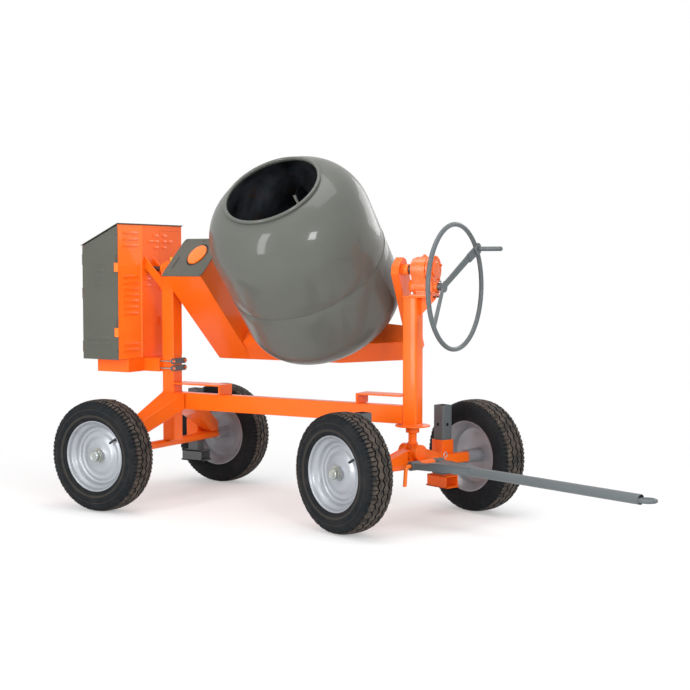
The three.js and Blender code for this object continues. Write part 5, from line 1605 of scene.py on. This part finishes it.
class MIXER_OT_drum(bpy.types.Operator):
    """Builds the drum: pan, cone, weld seam, rolled mouth, blades and hub."""

    bl_idname = "mixer.drum"
    bl_label = "Drum"

    def execute(self, context):
        sizes = context.scene.mixer_sizes
        sides = sizes.drum_sides
        coats = ("drum_grey", "inside")
        pan = [(PAN_FLAT * share, PAN_BOTTOM) for share in (0.14, 0.5, 0.9)]
        for step in range(25):
            angle = step / 24 * math.pi / 2
            pan.append((
                PAN_FLAT + (DRUM_RADIUS - PAN_FLAT) * math.sin(angle),
                PAN_SIDE - (PAN_SIDE - PAN_BOTTOM) * math.cos(angle),
            ))
        lap = DRUM_RADIUS - 1.2
        pan += [(DRUM_RADIUS, z) for z in (-120, -40, DRUM_SEAM - 3)] + [(lap, DRUM_SEAM - 0.3)]
        cone = [(lap, DRUM_SEAM)] + [(DRUM_RADIUS, z) for z in (DRUM_SEAM + 3, 120, 200)]
        for step in range(25):
            share = step / 24
            angle = share * math.pi / 2
            cone.append((
                MOUTH_LIP + (DRUM_RADIUS - MOUTH_LIP) * max(0.0, math.cos(angle)) ** 0.9,
                DRUM_SHOULDER + (MOUTH_HEIGHT - DRUM_SHOULDER) * (0.35 * share + 0.65 * math.sin(angle)),
            ))
        self.shell(pan, sides, "drum_pan", coats, "drum_lower")
        self.shell(cone, sides, "drum_cone", coats, "drum_upper")
        self.trim(sides, coats)
        self.blades()
        self.hub()
        return {"FINISHED"}

    def shell(self, outer, sides, name, coats, node_name):
        """A sheet between the outer profile and one a wall's thickness further in."""
        inner = []
        for index, point in enumerate(outer):
            before, after = outer[max(index - 1, 0)], outer[min(index + 1, len(outer) - 1)]
            run = math.hypot(after[0] - before[0], after[1] - before[1])
            across, up = (after[1] - before[1]) / run, (before[0] - after[0]) / run
            inner.append((point[0] - DRUM_WALL * across, point[1] - DRUM_WALL * up))
        bm = bmesh.new()
        lathe(bm, "z", outer + inner[::-1], sides=sides, joined=True)
        bm.faces.ensure_lookup_table()
        first = len(outer) * sides
        for face in bm.faces[first:]:
            face.material_index = 1
        finished(bm, name, "drum", coats, DRUM, (node_name,), sharp=40)

    def trim(self, sides, coats):
        bm = bmesh.new()
        roll = MOUTH_HEIGHT + 8.1
        profile = polygon(MOUTH_ROLL, 20, (MOUTH_LIP, roll))
        lathe(bm, "z", profile, sides=sides, joined=True)
        finished(bm, "mouth_roll", "drum", coats[:1], DRUM, ("drum_rim",), sharp=60)
        seam = bmesh.new()
        around = [(*point, DRUM_SEAM) for point in polygon(DRUM_RADIUS, sides * 3)]
        radii = [
            1.5 + 0.35 * math.cos(index * math.tau / 3) + 0.3 * noise.noise(Vector(point) * 0.05)
            for index, point in enumerate(around)
        ]
        sweep(seam, around, radii, 6, True)
        finished(seam, "drum_seam_bead", "drum", coats[:1], DRUM, sharp=60)

    def blades(self):
        for index in range(2):
            bm = bmesh.new()
            rows = []
            for step in range(25):
                share = step / 24
                z = BLADE_FOOT + BLADE_RISE * share
                turn = math.radians(BLADE_TURN + 180 * index + BLADE_TWIST * (2 * share - 1))
                outer = BLADE_EDGE - max(0, z - 190) * 0.10
                reach = outer - 20 - 98 * math.sin(math.pi * (0.12 + 0.76 * share)) ** 0.5
                ring = []
                section = [(outer, 3), (reach + 10, 3), (reach, 8), (reach - 3, 0), (reach, -6)]
                section += [(reach + 8, -3), (outer, -3)]
                for radius, lift in section:
                    lean = turn + lift / radius + 0.10 * (outer - radius) / 120
                    ring.append(bm.verts.new((radius * math.cos(lean), radius * math.sin(lean), z)))
                rows.append(ring)
            skin(bm, rows)
            # The inner edges of the blades take the pale grey finish: dried cement, and also a painted
            # highlight along the edge.
            for face in bm.faces:
                reach = [math.hypot(vert.co.x, vert.co.y) for vert in face.verts]
                face.material_index = int(max(reach) < 372)
            coats = ("inside", "cement_and_highlight")
            finished(
                bm, f"mixing_blade_{index + 1}", "drum", coats, DRUM,
                (f"drum_blade_{index + 1}",), sharp=45,
            )

    def hub(self):
        bm = bmesh.new()
        tooth = ((-0.34, 88), (-0.14, 96), (0.14, 96), (0.34, 88))
        prism(bm, "z", toothed(48, tooth), CROWN_LEVEL, CROWN_LEVEL + 14)
        rod(bm, "z", 24, CROWN_LEVEL + 2, -386, sides=48)
        dome = [(0, -414.6), (60, -414.6), (62, -411), (56, -404), (44, -398), (30, -394), (0, -393)]
        lathe(bm, "z", dome, sides=64, finish=1)
        hex_head(bm, "z", 20, -394, -372, (0, 0), 1)
        finished(bm, "drum_hub", "drum", ("iron", "orange"), DRUM, ("drum_axle",), sharp=32)


class MIXER_OT_gearbox(bpy.types.Operator):
    """Builds the tilt gearbox: casting, lower boss, bolted cover and filler plug."""

    bl_idname = "mixer.gearbox"
    bl_label = "Tilt gearbox"

    def outline(self, extra):
        """The casting's outline round both bearings, grown by a rim."""
        low, half = CASE_BOTTOM, 22 + extra
        arc = [math.radians(-35 + 250 * step / 32) for step in range(33)]
        top = [((55 + extra) * math.cos(t), TILT_HEIGHT + (55 + extra) * math.sin(t)) for t in arc]
        return [(-half, low), (half, low), (half, PINION_HEIGHT), *top, (-half, PINION_HEIGHT)]

    def execute(self, context):
        cast = ("casting", "iron", "zinc")
        start, end = CASE_START, CASE_END
        bm = bmesh.new()
        prism(bm, "x", self.outline(10), start + 16, end - 26)
        prism(bm, "x", self.outline(5), end - 27, end - 17)
        prism(bm, "x", self.outline(15), end - 18, end - 9)
        prism(bm, "x", self.outline(4), start, start + 17)
        boss = [(0, start - 28), (22, start - 27), (32, start - 22), (37, start - 13), (38, start)]
        boss += [(38, end - 20), (0, end - 20)]
        lathe(bm, "x", boss, (0, PINION_HEIGHT + 2), 64)
        barrel = [(26, start - 8), (34, start - 8), (36, start - 6), (36, start + 6), (26, start + 6)]
        lathe(bm, "x", barrel, (0, TILT_HEIGHT), 64, True)
        box(bm, (start - 4, end + 6), (-52, 52), (CASE_BOTTOM, FLANGE_TOP))
        plug = TILT_HEIGHT + 66
        middle = (start + end) / 2
        rod(bm, "z", 14, plug - 4, plug + 3, (middle, 0), 32)
        for x in (start + 8, end - 4):
            for y in (-46, 46):
                hex_head(bm, "z", 8, FLANGE_TOP, FLANGE_TOP + 9, (x, y), 2)
                rod(bm, "z", 4.5, FLANGE_TOP + 7, FLANGE_TOP + 14, (x, y), 20, 0.8, finish=2)
        bolt_ring(bm, "x", 6.5, end - 25, end - 18, 61, (0, TILT_HEIGHT), (-20, 30, 90, 150, 200))
        finished(bm, "gear_casting", "chassis", cast, replaces=("gearbox_case",), soft=3.0)
        lid = bmesh.new()
        prism(lid, "x", self.outline(11), CASE_END - 8.6, CASE_END - 2)
        prism(lid, "x", self.outline(15), CASE_END - 2, CASE_END + 7)
        rod(lid, "x", 40, CASE_END + 6, CASE_END + 14, (0, TILT_HEIGHT), 64, 3)
        collar = [(12.5, 6), (30, 6), (26, 12), (25, 22), (23, 24), (12.5, 24)]
        collar = [(radius, CASE_END + along) for radius, along in collar]
        lathe(lid, "x", collar, (0, PINION_HEIGHT), 48, True)
        low, high = CASE_END + 7, CASE_END + 15
        bolt_ring(lid, "x", 6.5, low, high, 62, (0, TILT_HEIGHT), (20, 90, 160, 235, 305))
        for y in (-30, 30):
            hex_head(lid, "x", 6.5, low, high, (y, 1182))
        hex_head(lid, "z", 9, plug + 3, plug + 10, (middle, 0))
        finished(lid, "gear_cover", "chassis", cast, replaces=("gearbox_cover",), soft=1.4)
        return {"FINISHED"}


class MIXER_OT_handwheel(bpy.types.Operator):
    """Builds the hand-wheel: tube ring, flat spokes, hub collar, crank plate and turning grip."""

    bl_idname = "mixer.handwheel"
    bl_label = "Hand-wheel"

    def execute(self, context):
        grey = ("steel_grey", "iron")
        turn = math.radians(CRANK_TURN)
        out = (math.cos(turn), math.sin(turn))
        z = PINION_HEIGHT
        hub = CASE_END + 30
        bm = bmesh.new()
        ring = [(HAND_PLANE, *point) for point in polygon(HAND_RING, 128, (0, z))]
        sweep(bm, ring, HAND_TUBE, 24, True)
        collar = [(0, -6), (18, -6), (20, -4), (20, 6), (0, 6)]
        flare = [(0, 6), (21, 6), (23, 8), (17, 13), (18, 19), (29, 27), (29, 31), (0, 31)]
        for profile, coat_index in ((collar, 1), (flare, 0)):
            turned = [(radius, hub + along) for radius, along in profile]
            lathe(bm, "x", turned, (0, z), 48, finish=coat_index)
        rod(bm, "x", 12, CASE_END - 96, hub, (0, z), 40, 1.5, finish=1)
        rod(bm, "x", 32, CASE_END - 87, CASE_END - 53, (0, z), 48, 1.0, finish=1)
        for flip in (1, -1):
            before = len(bm.verts)
            bar = []
            half = 21 if flip == 1 else 17
            for lift in (-4, 4):
                for side in (-half, half):
                    bar += [(hub + 24 + lift, 12, side * 0.8), (HAND_PLANE + lift, HAND_RING - 2, side)]
            hull(bm, bar)
            if flip == 1:
                plate = ((-18, 232), (-10, 232), (4, 313), (11, 313))
                hull(bm, [(HAND_PLANE + a, b, side) for side in (-26, 26) for a, b in plate])
            about = turn if flip == 1 else turn + math.pi
            moved(bm, before, Matrix.Translation((0, 0, z)) @ Matrix.Rotation(about, 4, "X"))
        peg = (HAND_RING * out[0], z + HAND_RING * out[1])
        rod(bm, "x", 31, HAND_PLANE + 4, HAND_PLANE + 16, peg, 64, 2.0)
        rod(bm, "x", 6, HAND_PLANE, HAND_PLANE + 142, peg, 24)
        rod(bm, "x", 9, HAND_PLANE + 140.5, HAND_PLANE + 144.5, peg, 32)
        weld(bm, [(HAND_PLANE + 2, *point) for point in polygon(30, 40, peg)], 2.6, True)
        hex_head(bm, "z", 6, z + 24, z + 31, (hub + 5, 0))
        finished(bm, "hand_ring", "handwheel", grey, replaces=("handwheel",), soft=1.2)
        grip = bmesh.new()
        start, end = HAND_PLANE + 16.5, HAND_PLANE + 140
        rod(grip, "x", 12, start, end, peg, 48, 1.5, 6.6)
        finished(
            grip, "crank_sleeve", "crank_grip", ("steel_grey",),
            replaces=("crank_grip",), sharp=30,
        )
        return {"FINISHED"}


class MIXER_PT_panel(bpy.types.Panel):
    """Lists the mixer's settings and building steps."""

    bl_idname = "MIXER_PT_panel"
    bl_label = "Concrete mixer"
    bl_space_type = "VIEW_3D"
    bl_region_type = "UI"
    bl_category = "Mixer"

    def draw(self, context):
        for group in (context.scene.mixer_sizes, context.scene.mixer_colours):
            column = self.layout.column(align=True)
            for name in group.__annotations__:
                column.prop(group, name)
        for step in STEPS:
            self.layout.operator(step.bl_idname)


GROUPS = (MixerColours, MixerSizes)
STEPS = (
    MIXER_OT_stage, MIXER_OT_wheels, MIXER_OT_chassis, MIXER_OT_axles, MIXER_OT_towing,
    MIXER_OT_legs, MIXER_OT_housing, MIXER_OT_drive, MIXER_OT_cradle, MIXER_OT_drum,
    MIXER_OT_gearbox, MIXER_OT_handwheel,
)


def register():
    for item in (*GROUPS, *STEPS, MIXER_PT_panel):
        bpy.utils.register_class(item)
    bpy.types.Scene.mixer_colours = bpy.props.PointerProperty(type=MixerColours)
    bpy.types.Scene.mixer_sizes = bpy.props.PointerProperty(type=MixerSizes)


def unregister():
    del bpy.types.Scene.mixer_sizes
    del bpy.types.Scene.mixer_colours
    for item in reversed((*GROUPS, *STEPS, MIXER_PT_panel)):
        bpy.utils.unregister_class(item)


def main():
    register()
    for step in STEPS:
        family, action = step.bl_idname.split(".")
        getattr(getattr(bpy.ops, family), action)()
    bpy.context.view_layer.update()


if __name__ == "__main__":
    main()
